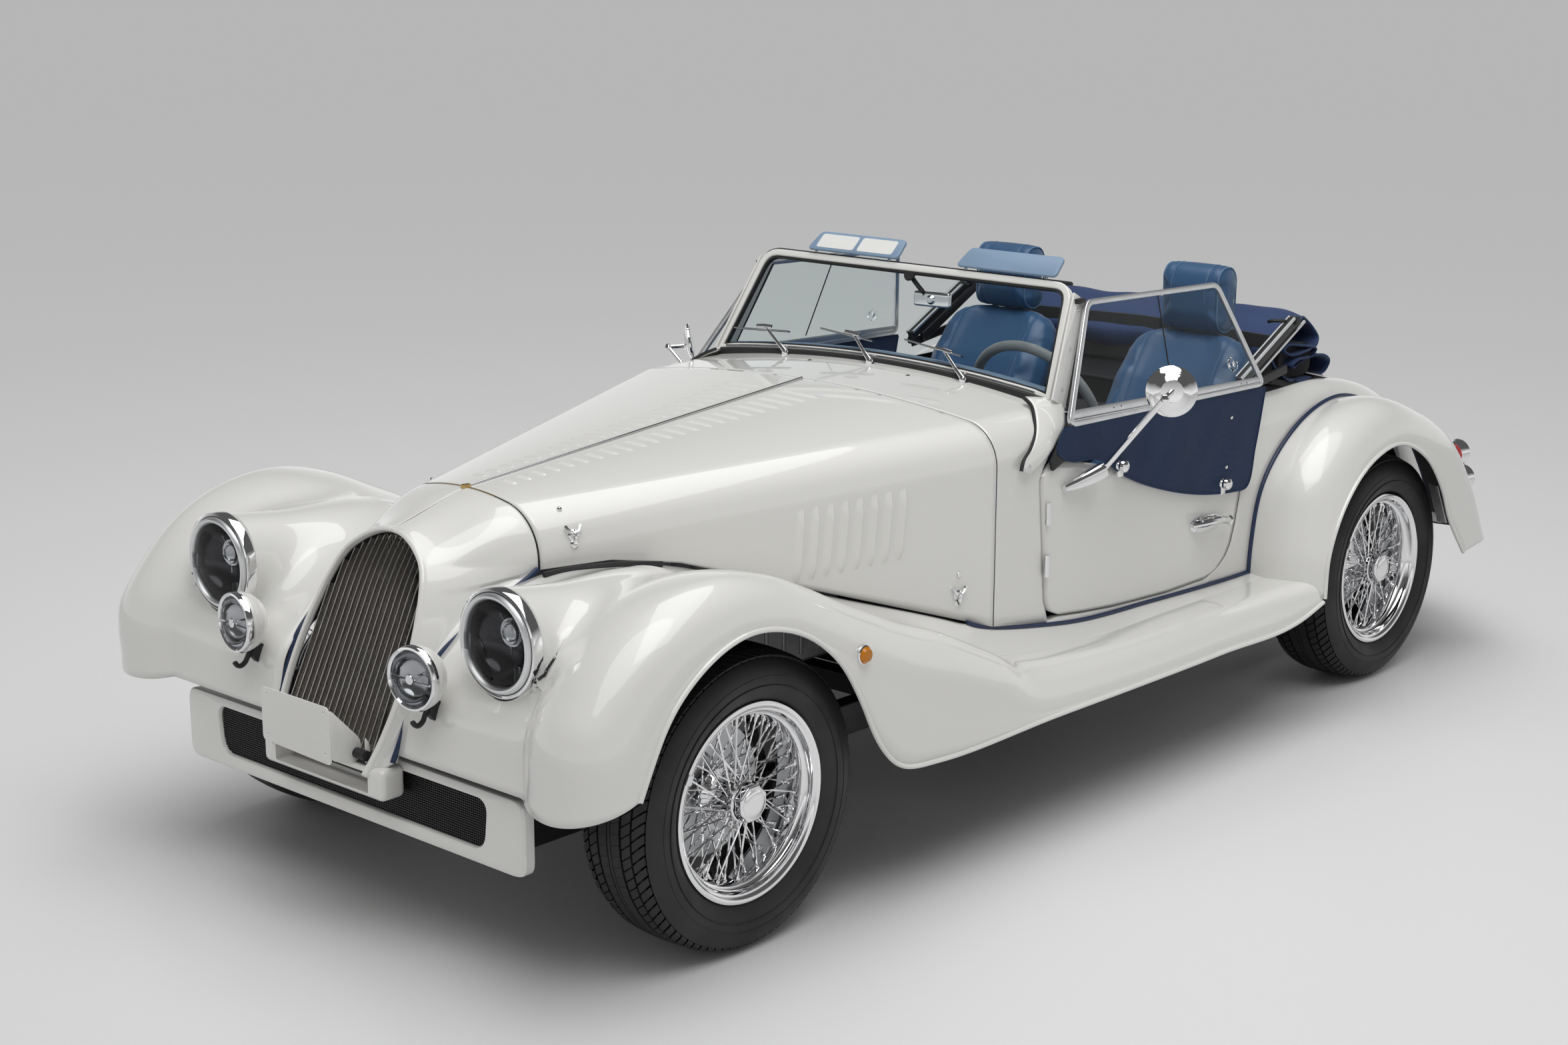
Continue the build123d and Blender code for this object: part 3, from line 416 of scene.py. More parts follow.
# %% Tone: a colour that drifts a little over the surface
FLOAT, COLOUR = "NodeSocketFloat", "NodeSocketColor"
tone, start, end = group("tone",
                         [("Colour", COLOUR, (1, 1, 1, 1)), ("Scale", FLOAT, 3.0), ("Amount", FLOAT, 0.1)],
                         [("Colour", COLOUR), ("Mask", FLOAT)])
place = node(tone, "TexCoord")
cloud = node(tone, "TexNoise",
             {"Vector": place.outputs["Object"], "Scale": start.outputs["Scale"], "Detail": 4.0})
spread = node(tone, "MapRange", {"Value": cloud.outputs["Fac"], "From Min": 0.3, "From Max": 0.7,
                                 "To Min": 0.0, "To Max": 1.0})
share = node(tone, "Math", {0: spread.outputs["Result"], 1: start.outputs["Amount"]}, operation="MULTIPLY")
keep = node(tone, "Math", {0: 1.0, 1: share.outputs[0]}, operation="SUBTRACT")
dim = node(tone, "HueSaturation", {"Color": start.outputs["Colour"], "Value": keep.outputs[0]})
tone.links.new(dim.outputs["Color"], end.inputs["Colour"])
tone.links.new(spread.outputs["Result"], end.inputs["Mask"])

# %% Grain: the small cells and creases of leather, or the pebble of moulded rubber
grain, start, end = group("grain", [("Scale", FLOAT, 300.0), ("Crease", FLOAT, 0.5)], [("Height", FLOAT)])
place = node(grain, "TexCoord")
cells = node(grain, "TexVoronoi", {"Vector": place.outputs["Object"], "Scale": start.outputs["Scale"]},
             feature="DISTANCE_TO_EDGE")
round_cells = node(grain, "Math", {0: cells.outputs["Distance"], 1: 0.35}, operation="MINIMUM")
folds = node(grain, "TexNoise", {"Vector": place.outputs["Object"], "Scale": 40.0, "Detail": 6.0})
crease = node(grain, "Math", {0: folds.outputs["Fac"], 1: start.outputs["Crease"]}, operation="MULTIPLY")
height = node(grain, "Math", {0: round_cells.outputs[0], 1: crease.outputs[0]}, operation="ADD")
grain.links.new(height.outputs[0], end.inputs["Height"])

# %% Weave: crossed threads along the car's three axes, over and under each other
weave, start, end = group("weave", [("Threads", FLOAT, 700.0)], [("Height", FLOAT)])
place = node(weave, "TexCoord")
axes = node(weave, "SeparateXYZ", {0: place.outputs["Object"]})
waves = []
for axis in "XYZ":
    turn = node(weave, "Math", {0: axes.outputs[axis], 1: start.outputs["Threads"]}, operation="MULTIPLY")
    angle = node(weave, "Math", {0: turn.outputs[0], 1: pi}, operation="MULTIPLY")
    waves.append(node(weave, "Math", {0: angle.outputs[0]}, operation="SINE").outputs[0])
first = node(weave, "Math", {0: waves[0], 1: waves[1]}, operation="ADD")
second = node(weave, "Math", {0: first.outputs[0], 1: waves[2]}, operation="ADD")
weave.links.new(second.outputs[0], end.inputs["Height"])
print("node groups:", [g.name for g in bpy.data.node_groups])

# %% A finish
def finish(name, slot, colour, roughness=0.5, metallic=0.0, drift=(3.0, 0.06), bump=None, rough_drift=0.0,
           **sockets):
    """A Principled material: drift is (scale, amount) of its tone, bump is (group, values, strength, mm)."""
    material = bpy.data.materials.new(name)
    material["slot"] = slot
    material.use_nodes = True
    tree = material.node_tree
    shader = tree.nodes["Principled BSDF"]
    shader.inputs["Metallic"].default_value = metallic
    shader.inputs["Roughness"].default_value = roughness
    for label, value in sockets.items():
        shader.inputs[label.replace("_", " ")].default_value = value
    tint = node(tree, "Group", node_tree=tone)
    tint.inputs["Colour"].default_value = (*colour, 1)
    tint.inputs["Scale"].default_value, tint.inputs["Amount"].default_value = drift
    tree.links.new(tint.outputs["Colour"], shader.inputs["Base Color"])
    if rough_drift:
        vary = node(tree, "MapRange", {"Value": tint.outputs["Mask"], "To Min": roughness - rough_drift,
                                       "To Max": roughness + rough_drift})
        tree.links.new(vary.outputs["Result"], shader.inputs["Roughness"])
    if bump:
        source, values, strength, depth = bump
        relief = node(tree, "Group", node_tree=source)
        for label, value in values.items():
            relief.inputs[label].default_value = value
        raised = node(tree, "Bump",
                      {"Strength": strength, "Distance": depth * MM, "Height": relief.outputs["Height"]})
        tree.links.new(raised.outputs["Normal"], shader.inputs["Normal"])
    return material

# %% Glass
def glass(name, slot, colour, roughness=0.0, transmission=1.0, ior=1.45):
    """Clear material with a plain Metallic and Transmission Weight."""
    material = bpy.data.materials.new(name)
    material["slot"] = slot
    material.use_nodes = True
    shader = material.node_tree.nodes["Principled BSDF"]
    shader.inputs["Base Color"].default_value = (*colour, 1)
    shader.inputs["Roughness"].default_value = roughness
    shader.inputs["Transmission Weight"].default_value = transmission
    shader.inputs["IOR"].default_value = ior
    return material

# %% Paint and metals
pearl_paint = finish("pearl_paint", "paint_white", (0.79, 0.785, 0.755), 0.38, drift=(0.9, 0.02),
                     bump=(grain, {"Scale": 900.0, "Crease": 0.2}, 0.02, 0.02),
                     Coat_Weight=1.0, Coat_Roughness=0.04, Sheen_Weight=0.08, Specular_IOR_Level=0.6)
navy_piping = finish("navy_piping", "hood_fabric", (0.012, 0.03, 0.085), 0.42, drift=(30, 0.2),
                     bump=(grain, {"Scale": 900.0, "Crease": 0.3}, 0.2, 0.1))
chrome = finish("chrome", "chrome", (0.86, 0.86, 0.87), 0.045, 1.0, drift=(6, 0.04), rough_drift=0.02)
polished = finish("polished", "bright_metal", (0.74, 0.75, 0.76), 0.18, 1.0, drift=(20, 0.05),
                  rough_drift=0.05)
satin_alloy = finish("satin_alloy", "bright_metal", (0.82, 0.83, 0.84), 0.42, 1.0, drift=(25, 0.08),
                     rough_drift=0.06)
grille_alloy = finish("grille_alloy", "grille_metal", (0.8, 0.78, 0.75), 0.24, 1.0, drift=(12, 0.1),
                      rough_drift=0.05)
brass = finish("brass", "bright_metal", (0.62, 0.43, 0.18), 0.22, 1.0, drift=(30, 0.1), rough_drift=0.05)
cast_metal = finish("cast_metal", "engine_metal", (0.32, 0.32, 0.33), 0.5, 0.9, drift=(20, 0.2),
                    bump=(grain, {"Scale": 500.0, "Crease": 0.6}, 0.2, 0.2))

# %% Blacks
chassis_black = finish("chassis_black", "chassis_black", (0.022, 0.022, 0.024), 0.5, drift=(8, 0.3),
                       rough_drift=0.1)
black_rubber = finish("black_rubber", "trim_black", (0.018, 0.018, 0.019), 0.55, drift=(30, 0.3),
                      bump=(grain, {"Scale": 600.0, "Crease": 0.4}, 0.15, 0.1))
black_cloth = finish("black_cloth", "trim_black", (0.02, 0.02, 0.022), 0.85, drift=(12, 0.3),
                     bump=(weave, {"Threads": 600.0}, 0.3, 0.2), Sheen_Weight=0.2)
black_vinyl = finish("black_vinyl", "trim_black", (0.018, 0.018, 0.02), 0.38, drift=(6, 0.3),
                     bump=(grain, {"Scale": 420.0, "Crease": 0.5}, 0.25, 0.2))
mesh_black = finish("mesh_black", "mesh_black", (0.02, 0.02, 0.021), 0.4, 0.2, drift=(20, 0.3))
tyre_rubber = finish("tyre_rubber", "tyre", (0.021, 0.021, 0.022), 0.58, drift=(9, 0.35), rough_drift=0.08,
                     bump=(grain, {"Scale": 450.0, "Crease": 0.5}, 0.12, 0.15))

# %% Canvas and leather
navy_canvas = finish("navy_canvas", "hood_fabric", (0.024, 0.052, 0.15), 0.82, drift=(7, 0.22),
                     bump=(weave, {"Threads": 520.0}, 0.5, 0.25), Sheen_Weight=0.12, Sheen_Roughness=0.5)
screen_canvas = finish("screen_canvas", "sidescreen_fabric", (0.011, 0.03, 0.085), 0.75, drift=(7, 0.2),
                       bump=(weave, {"Threads": 520.0}, 0.5, 0.25), Sheen_Weight=0.06, Specular_IOR_Level=0.3)
blue_leather = finish("blue_leather", "leather_blue", (0.03, 0.095, 0.21), 0.42, drift=(6, 0.16),
                      rough_drift=0.06,
                      bump=(grain, {"Scale": 380.0, "Crease": 0.6}, 0.35, 0.25), Sheen_Weight=0.12)
pale_blue_trim = finish("pale_blue_trim", "trim_blue", (0.22, 0.32, 0.45), 0.5, drift=(6, 0.1),
                        bump=(grain, {"Scale": 420.0, "Crease": 0.5}, 0.25, 0.2))
stitch_thread = finish("stitch_thread", "leather_blue", (0.1, 0.2, 0.34), 0.7, drift=(60, 0.2))
rim_leather = finish("rim_leather", "wheel_rim_grey", (0.36, 0.38, 0.39), 0.5, drift=(20, 0.15),
                     bump=(grain, {"Scale": 420.0, "Crease": 0.5}, 0.3, 0.2))
card_white = finish("card_white", "trim_blue", (0.75, 0.75, 0.73), 0.5, drift=(10, 0.03))

# %% Lenses and lamps
# a low index stands for the coated thin panes, which mirror far less than a thick block would
clear_glass = glass("clear_glass", "screen_glass", (0.9, 0.94, 0.94), ior=1.14)
lamp_glass = glass("lamp_glass", "lamp_glass_chrome", (0.97, 0.98, 0.99), ior=1.2)
red_lens = glass("red_lens", "lamp_red", (0.6, 0.01, 0.01), 0.08, 0.55)
amber_lens = glass("amber_lens", "lamp_red", (0.85, 0.3, 0.01), 0.08, 0.55)
lamp_bowl = finish("lamp_bowl", "lamp_glass_chrome", (0.5, 0.51, 0.53), 0.12, 1.0, drift=(14, 0.25),
                   rough_drift=0.04)
lamp_shade = finish("lamp_shade", "lamp_glass_chrome", (0.035, 0.035, 0.04), 0.12, 0.6, drift=(3, 0.2))
print(len(bpy.data.materials), "materials")

# %% [markdown]
# ## Camera, floor and light
# The car is seen from its front left corner, from just above the bonnet's height, with a long
# lens. The light is a plain studio: an even pale world, a broad soft sun overhead and one large softbox
# that draws the long highlights along the wings. What polished metal mirrors gets darker upwards, as under
# a studio's dark ceiling, because chrome looks like chrome only when it has something dark to show.

# %% Camera
EYE = (3818.1, -4660.4, 1988.9)
LENS_PX = 3624.6                      # focal length in widths of a 2352 pixel frame
FRAME_WIDTH_PX = 2352
camera = bpy.data.objects.new("camera", bpy.data.cameras.new("camera"))
bpy.context.scene.collection.objects.link(camera)
right = Vector((0.73917, 0.67351, 0.00261))
back = Vector((0.65406, -0.71873, 0.23585))
turn = Matrix((right, back.cross(right), back)).transposed().to_4x4()
camera.matrix_world = Matrix.Translation(at(*EYE)) @ turn
camera.data.sensor_width = 36
camera.data.lens = LENS_PX / FRAME_WIDTH_PX * camera.data.sensor_width
camera.data.clip_end = 500
bpy.context.scene.camera = camera
bpy.context.scene.view_settings.view_transform = "Standard"

# %% Floor
FLOOR_HALF = 150.0
bm = bmesh.new()
bmesh.ops.create_grid(bm, x_segments=1, y_segments=1, size=FLOOR_HALF)
floor = in_scene(bm, "floor")
floor_paint = bpy.data.materials.new("floor_paint")
floor_paint.use_nodes = True
shader = floor_paint.node_tree.nodes["Principled BSDF"]
shader.inputs["Base Color"].default_value = (0.8, 0.8, 0.8, 1)
shader.inputs["Roughness"].default_value = 0.45
shader.inputs["Specular IOR Level"].default_value = 0.3
floor.data.materials.append(floor_paint)

# %% Light
world = bpy.data.worlds.new("studio")
world.use_nodes = True
bpy.context.scene.world = world
tree = world.node_tree
rays = node(tree, "LightPath")
seen = node(tree, "Math", {0: rays.outputs["Is Camera Ray"], 1: rays.outputs["Is Transmission Ray"]},
            operation="MAXIMUM")
FILL, BACKDROP, CEILING = 0.34, 0.86, 0.1
level = node(tree, "MapRange", {"Value": seen.outputs[0], "To Min": FILL, "To Max": BACKDROP})
way = node(tree, "SeparateXYZ", {0: node(tree, "TexCoord").outputs["Generated"]})
room = node(tree, "MapRange", {"Value": way.outputs["Z"], "From Min": 0.08, "From Max": 0.4,
                               "To Min": BACKDROP, "To Max": CEILING})
shown = node(tree, "MapRange", {"Value": rays.outputs["Is Glossy Ray"], "To Min": level.outputs["Result"],
                                "To Max": room.outputs["Result"]})
tree.links.new(shown.outputs["Result"], tree.nodes["Background"].inputs["Strength"])
tree.nodes["Background"].inputs["Color"].default_value = (1, 1, 1, 1)


def lamp(name, kind, place, target, energy, **settings):
    data = bpy.data.lights.new(name, kind)
    data.energy = energy
    for label, value in settings.items():
        setattr(data, label, value)
    made = bpy.data.objects.new(name, data)
    bpy.context.scene.collection.objects.link(made)
    made.location = place
    made.rotation_euler = (Vector(target) - Vector(place)).to_track_quat("-Z", "Y").to_euler()
    return made


lamp("sky_sun", "SUN", (1.5, -2.0, 8.0), (0, 0, 0), 0.95, angle=radians(50))
lamp("softbox", "AREA", (0.6, -0.4, 4.6), (0, 0, 0), 95, shape="RECTANGLE", size=2.4, size_y=6.0)
print("camera at", [round(v, 3) for v in camera.location], "lens", round(camera.data.lens, 2))

# %% [markdown]
# ## The wings
# Each wing is one long sheet of metal: it starts as a valance beside the grille, swells over the wheel,
# sweeps down into the running board and stops at the rear wing. Its shape is a row of cross-sections, each
# running from the inner edge over a fold and the crown to the outer lip. A grid of quads is laid over
# smooth curves through those sections, which gives clean highlights, and then gets its thickness.

# %% Wing sections
WING_LIP_X = 800
LIP_FLANGE = 0.945                # from here on the lip stands slightly proud
# columns: lip_y, lip_z, crown_y, crown_z, crown_x, fold_x, fold_drop, inner_x, inner_drop
FRONT_WING = [
    (-1737, 440, -1856, 398, 680, 570, 41, 196, 40),
    (-1707, 500, -1848, 551, 688, 565, 50, 205, 68),
    (-1672, 563, -1790, 634, 690, 545, 60, 214, 80),
    (-1612, 628, -1690, 726, 695, 520, 62, 222, 84),
    (-1525, 680, -1570, 780, 700, 505, 60, 226, 84),
    (-1435, 701, -1445, 797, 706, 500, 55, 233, 79),
    (-1330, 684, -1310, 776, 708, 520, 42, 275, 58),
    (-1235, 636, -1180, 723, 702, 540, 28, 318, 25),
    (-1165, 572, -1080, 674, 696, 555, 8, 357, 3),
    (-1109, 485, -985, 632, 692, 560, 4, 394, -12),
    (-1060, 393, -875, 584, 690, 580, 4, 434, -20),
    (-985, 318, -741, 535, 692, 600, 4, 483, -26),
    (-850, 297, -600, 470, 700, 620, 4, 540, -51),
    (-450, 296, -450, 408, 705, 640, 4, 577, -52),
    (-150, 293, -150, 378, 725, 650, 3, 604, -30),
    (240, 292, 240, 373, 730, 650, 2, 604, -12),
    (640, 301, 640, 372, 735, 650, 2, 606, -2),
    (722, 322, 722, 372, 750, 650, 2, 606, -2),
]
REAR_WING = [
    (729, 330, 672, 332, 650, 630, 1, 606, 1),
    (736, 430, 678, 445, 655, 630, 1, 606, 2),
    (787, 538, 712, 592, 670, 630, 3, 606, 6),
    (923, 654, 880, 752, 690, 640, 8, 606, 16),
    (1070, 687, 1070, 797, 690, 640, 6, 606, 12),
    (1232, 627, 1282, 748, 690, 640, 5, 606, 10),
    (1334, 525, 1470, 652, 690, 640, 5, 606, 10),
    (1392, 425, 1600, 505, 690, 640, 5, 606, 10),
    (1490, 312, 1700, 330, 690, 640, 5, 606, 10),
]

# %% From a section to a sheet
def wing_point(row, across):
    """A point of a section: 0 is the inner edge, 0.2 the fold, 0.5 the crown and 1 the lip."""
    lip_y, lip_z, crown_y, crown_z, crown_x, fold_x, fold_drop, inner_x, inner_drop = row
    height = hypot(crown_y - lip_y, crown_z - lip_z)
    step_y, step_z = (crown_y - lip_y) / height, (crown_z - lip_z) / height

    def on_arc(run, drop, share, side):
        radius = (run * run + drop * drop) / (2 * drop)
        turn = share * acos(max(-1, 1 - drop / radius))
        return crown_x + side * radius * sin(turn), height - radius * (1 - cos(turn))

    if across < 0.2:
        share = across / 0.2
        x, h = inner_x + share * (fold_x - inner_x), height - inner_drop - share * (fold_drop - inner_drop)
    elif across < 0.5:
        x, h = on_arc(crown_x - fold_x, max(fold_drop, 0.5), (0.5 - across) / 0.3, -1)
    else:
        run = WING_LIP_X - crown_x
        drop = min(run, height - 2)
        if across < 0.92:
            x, h = on_arc(run, drop, (across - 0.5) / 0.42, 1)
        else:
            x, h = WING_LIP_X, (height - drop) * (1 - (across - 0.92) / 0.08)
    if across > LIP_FLANGE:
        x += 2.2 * min(1, (across - LIP_FLANGE) / 0.016)
    return x, lip_y + h * step_y, lip_z + h * step_z


def wing_sheet(rows, stations, ring):
    return sheet(stations, ring, lambda along, across: wing_point(smooth_row(rows, along), across))


def wing_line(rows, across, first=0.0, last=1.0):
    """Sixty points along a wing at one place of its sections."""
    return [wing_point(smooth_row(rows, first + (last - first) * i / 59), across) for i in range(60)]

# %% [markdown]
# Each headlamp sits in a pod that grows out of the wing. The wing sheet is closed to a volume for a moment,
# the pod is joined to it with a Boolean, and the helper faces are dropped again. What is left of the
# crease is melted: both shapes have a distance field, and the vertices near the crease are moved onto
# the surface where the two fields, blended, are zero. That gives the soft hollow of beaten metal.

# %% Where the pods are
LAMP = (450, -1764, 681)
LAMP_R = 106
POD_END = (450, -1400, 628)
POD_END_R = 112
CREASE = 70                       # width of the hollow between wing and pod
SEAT_DEPTH = 11                   # how far the pod's face sits behind the lamp's ring

# %% Boolean of two closed shapes
def boolean(bm, cutter, operation):
    """The union or difference of two closed bmeshes; faces keep their material numbers."""
    made = []
    for shape in (bm, cutter):
        made.append(in_scene(shape, "solid"))
        for label in ("skin", "helper"):
            made[-1].data.materials.append(bpy.data.materials.get(label) or bpy.data.materials.new(label))
    step = made[0].modifiers.new("step", "BOOLEAN")
    step.operation = operation
    step.solver = "EXACT"
    step.object = made[1]
    bpy.context.view_layer.update()
    result = made[0].evaluated_get(bpy.context.evaluated_depsgraph_get()).to_mesh()
    whole = bmesh.new()
    whole.from_mesh(result)
    for holder in made:
        mesh = holder.data
        bpy.data.objects.remove(holder)
        bpy.data.meshes.remove(mesh)
    return whole


def closed_to(bm, point):
    """Closes an open sheet with a fan: its rim is extruded and merged to a point behind it."""
    rim = [edge for edge in bm.edges if edge.is_boundary]
    fan = bmesh.ops.extrude_edge_only(bm, edges=rim)["geom"]
    for face in fan:
        if isinstance(face, bmesh.types.BMFace):
            face.material_index = 1
    bmesh.ops.pointmerge(bm, verts=[v for v in fan if isinstance(v, bmesh.types.BMVert)], merge_co=at(*point))
    return outwards(bm)

# %% Distance fields
def pod_field(point):
    """Signed distance to the pod, in millimetres, its outward direction, and how far along it is."""
    start, end = Vector(LAMP), Vector(POD_END)
    axis = (end - start).normalized()
    along = (point - start).dot(axis)
    away = point - start - axis * along
    radius = LAMP_R + (POD_END_R - LAMP_R) * along / (end - start).length
    return away.length - radius, away.normalized(), along


def melt(bm, skin):
    """Moves the vertices near the crease onto the blend of the wing's and the pod's distance fields."""
    tree = BVHTree.FromBMesh(skin)
    for vert in bm.verts:
        point = vert.co / MM
        for _ in range(5):
            pod_far, pod_out, along = pod_field(point)
            if not 0 < along < 420 or abs(pod_far) > CREASE:
                break
            near, normal, _, _ = tree.find_nearest(point * MM)
            wing_far = (point - near / MM).dot(normal)
            overlap = max(CREASE - abs(pod_far - wing_far), 0) / CREASE
            if overlap == 0 or max(pod_far, wing_far) > CREASE:
                break
            share = 0.5 + 0.5 * (pod_far - wing_far) / CREASE
            fade = min(1, max(0, (along - SEAT_DEPTH - 2) / 34))
            field = min(pod_far, wing_far) - fade * overlap * overlap * CREASE / 4
            slope = normal * share + pod_out * (1 - share)
            point = point - slope * (field / slope.length_squared)
        if along > SEAT_DEPTH + 1:
            vert.co = point * MM

# %% Front wings with their headlamp pods
def wing_with_pod():
    """The front wing of the left side, an open sheet with the pod grown into it."""
    skin = outwards(wing_sheet(FRONT_WING, 200, 66))
    if sum((face.normal.z for face in skin.faces)) < 0:
        bmesh.ops.reverse_faces(skin, faces=skin.faces[:])
    axis = Vector(POD_END) - Vector(LAMP)
    steps = 30
    profile = [(SEAT_DEPTH + depth, LAMP_R - step)
               for depth, step in ((0, LAMP_R), (0, 20), (0, 8), (1, 3), (4, 0))]
    for i in range(1, steps + 1):
        profile.append((mix(SEAT_DEPTH + 4, axis.length, i / steps), mix(LAMP_R, POD_END_R, i / steps)))
    profile.append((axis.length, 0))
    pod = outwards(turned(profile, LAMP, axis, 80))
    whole = boolean(closed_to(skin.copy(), (500, -1100, 200)), pod, "UNION")
    helpers = [face for face in whole.faces if face.material_index == 1]
    facing = axis.normalized()
    for face in whole.faces:
        far, _, along = pod_field(face.calc_center_median() / MM)
        if face.normal.dot(facing) < -0.95 and abs(along - SEAT_DEPTH) < 2 and far < -18:
            helpers.append(face)
    bmesh.ops.delete(whole, geom=list(set(helpers)), context="FACES")
    bmesh.ops.remove_doubles(whole, verts=whole.verts[:], dist=2 * MM)
    melt(whole, skin)
    hollow = []
    for vert in whole.verts:
        far, _, along = pod_field(vert.co / MM)
        if SEAT_DEPTH + 26 < along < 400 and abs(far) < CREASE * 0.6 and not vert.is_boundary:
            hollow.append(vert)
    eased(whole, hollow, 4)
    skin.free()
    return whole

# %% Wings with their lips and piping
PAINTED = [pearl_paint, chassis_black]
PANEL = {"sharp": 40, "wall": 2.5}
pair("front_wing", wing_with_pod(), PAINTED, hides=["front_wing_{side}"], out=(0.3, -0.2, 1), **PANEL)
pair("rear_wing", wing_sheet(REAR_WING, 96, 44), PAINTED, hides=["rear_wing_{side}"], out=(0.3, 0.2, 1),
     **PANEL)

# the rolled lips, and the piping between the wings and the body
BEAD_R, PIPING_R = 5.5, 5.5
pair("front_wing_bead", tube(wing_line(FRONT_WING, 1.0), BEAD_R, detail=2), pearl_paint)
pair("rear_wing_bead", tube(wing_line(REAR_WING, 1.0), BEAD_R, detail=2), pearl_paint)
pair("rear_wing_piping",
     tube([(x - 1, y, z + 3) for x, y, z in wing_line(REAR_WING, 0.0)], PIPING_R, detail=2),
     navy_piping)
board_edge = [(x - 2, y, z + 3) for x, y, z in wing_line(FRONT_WING, 0.0, 0.56, 1.0)]
pair("board_piping", tube(board_edge, PIPING_R, detail=2), navy_piping)

# %% [markdown]
# ## Bonnet, scuttle and rear body
# These panels share one kind of section: a wide arc over the top, a tighter shoulder and a straight side.
# A point of the section is found by how far round it lies, so a panel is again a bent grid. Where the
# windscreen, the doors or the wheels cut a panel, its grid lines end on that cut.

# %% Arched sections
@lru_cache(maxsize=4096)
def arch_bend(half, drop, shoulder):
    """Where the wide arc meets the shoulder, and the lean there."""
    bend_x = half - shoulder
    for _ in range(20):
        lean = 2 * atan(drop / bend_x)
        bend_x = half - shoulder * (1 - sin(lean))
    return bend_x, lean


def arch_point(half, top, drop, shoulder, foot, share):
    """(x, z) on a section: 0 is the middle, 0.5 to 0.75 the shoulder and 1 the foot."""
    bend_x, lean = arch_bend(half, drop, shoulder)
    if share < 0.5:
        wide = bend_x / sin(lean)
        turn = lean * share / 0.5
        return wide * sin(turn), top - wide * (1 - cos(turn))
    centre_z = top - drop - shoulder * cos(lean)
    if share < 0.75:
        turn = lean + (pi / 2 - lean) * (share - 0.5) / 0.25
        return half - shoulder + shoulder * sin(turn), centre_z + shoulder * cos(turn)
    return half, centre_z + (foot - centre_z) * (share - 0.75) / 0.25

# %% Edges from tables
def between(table, where):
    """The value of a two-column table at a place, by straight lines."""
    for (a, value_a), (b, value_b) in zip(table, table[1:]):
        if where <= b:
            return value_a + (value_b - value_a) * max(0, where - a) / (b - a)
    return table[-1][1]

# %% Bonnet
# columns: y, half width, top, crown drop, shoulder radius
BONNET_FRONT = (-1453, 222, 865, 14, 110)
BONNET_REAR = (-402, 590, 958, 36, 100)
BONNET_FOOT = [(-1460, 724), (-1300, 726), (-1150, 700), (-400, 452)]
BONNET_LENGTH, BONNET_RISE = BONNET_REAR[0] - BONNET_FRONT[0], BONNET_REAR[2] - BONNET_FRONT[2]
HINGE_GAP = 4.0


def bonnet_point(along, across):
    y, half, top, drop, shoulder = (mix(a, b, along) for a, b in zip(BONNET_FRONT, BONNET_REAR))
    x, z = arch_point(half, top, drop, shoulder, between(BONNET_FOOT, y), across)
    return max(x, HINGE_GAP), y, z


bonnet = sheet(90, 60, bonnet_point)
pair("bonnet", bonnet, PAINTED, "bonnet_{side}", ["bonnet_{side}"], (0.3, 0, 1), **PANEL)

# %% [markdown]
# The bonnet sides carry eight pressed louvres each, and the top has a comb of low ones on each side of the
# hinge. A louvre is one small grid: it rises gently from the panel and ends in a sharp step to the rear.

# %% Louvres
def louvre(centre, run, out, length, width, rise, lean=0.0):
    """A pressed louvre: long way across run, rising along run, standing proud along out."""
    run, out = Vector(run).normalized(), Vector(out).normalized()
    up = run.cross(out) * (1 if run.cross(out).z > 0 else -1)
    long_way = up * cos(lean) + run * sin(lean)
    wide_way = run * cos(lean) - up * sin(lean)

    def place(along, across):
        ends = min(1, (1 - abs(2 * along - 1) ** 3) * 1.3)
        shape = across / 0.86 if across < 0.86 else 1 - (across - 0.86) / 0.14
        height = rise * ends * (shape * shape * (3 - 2 * shape)) - 0.6
        spread = 0.75 + 0.25 * ends
        sideways = (across - 0.5) * width * spread
        where = Vector(centre) + long_way * (along - 0.5) * length + wide_way * sideways
        return where + out * height
    return sheet(20, 12, place)

# %% Side louvres
SIDE_RUN = Vector((BONNET_REAR[1] - BONNET_FRONT[1], BONNET_LENGTH, 0)).normalized()
SIDE_OUT = Vector((SIDE_RUN.y, -SIDE_RUN.x, 0))
LOUVRES, LOUVRE_FIRST, LOUVRE_LAST = 8, (-884, 703), (-641, 722)
side_louvres = []
for number in range(LOUVRES):
    y, z = (mix(a, b, number / (LOUVRES - 1)) for a, b in zip(LOUVRE_FIRST, LOUVRE_LAST))
    x = BONNET_FRONT[1] + (y - BONNET_FRONT[0]) * SIDE_RUN.x / SIDE_RUN.y
    side_louvres.append(louvre((x, y, z), SIDE_RUN, SIDE_OUT, 166, 26, 9.5, radians(4.6)))
pair("bonnet_louvres", joined(*side_louvres), pearl_paint, "bonnet_{side}", out=(1, -0.3, 0))

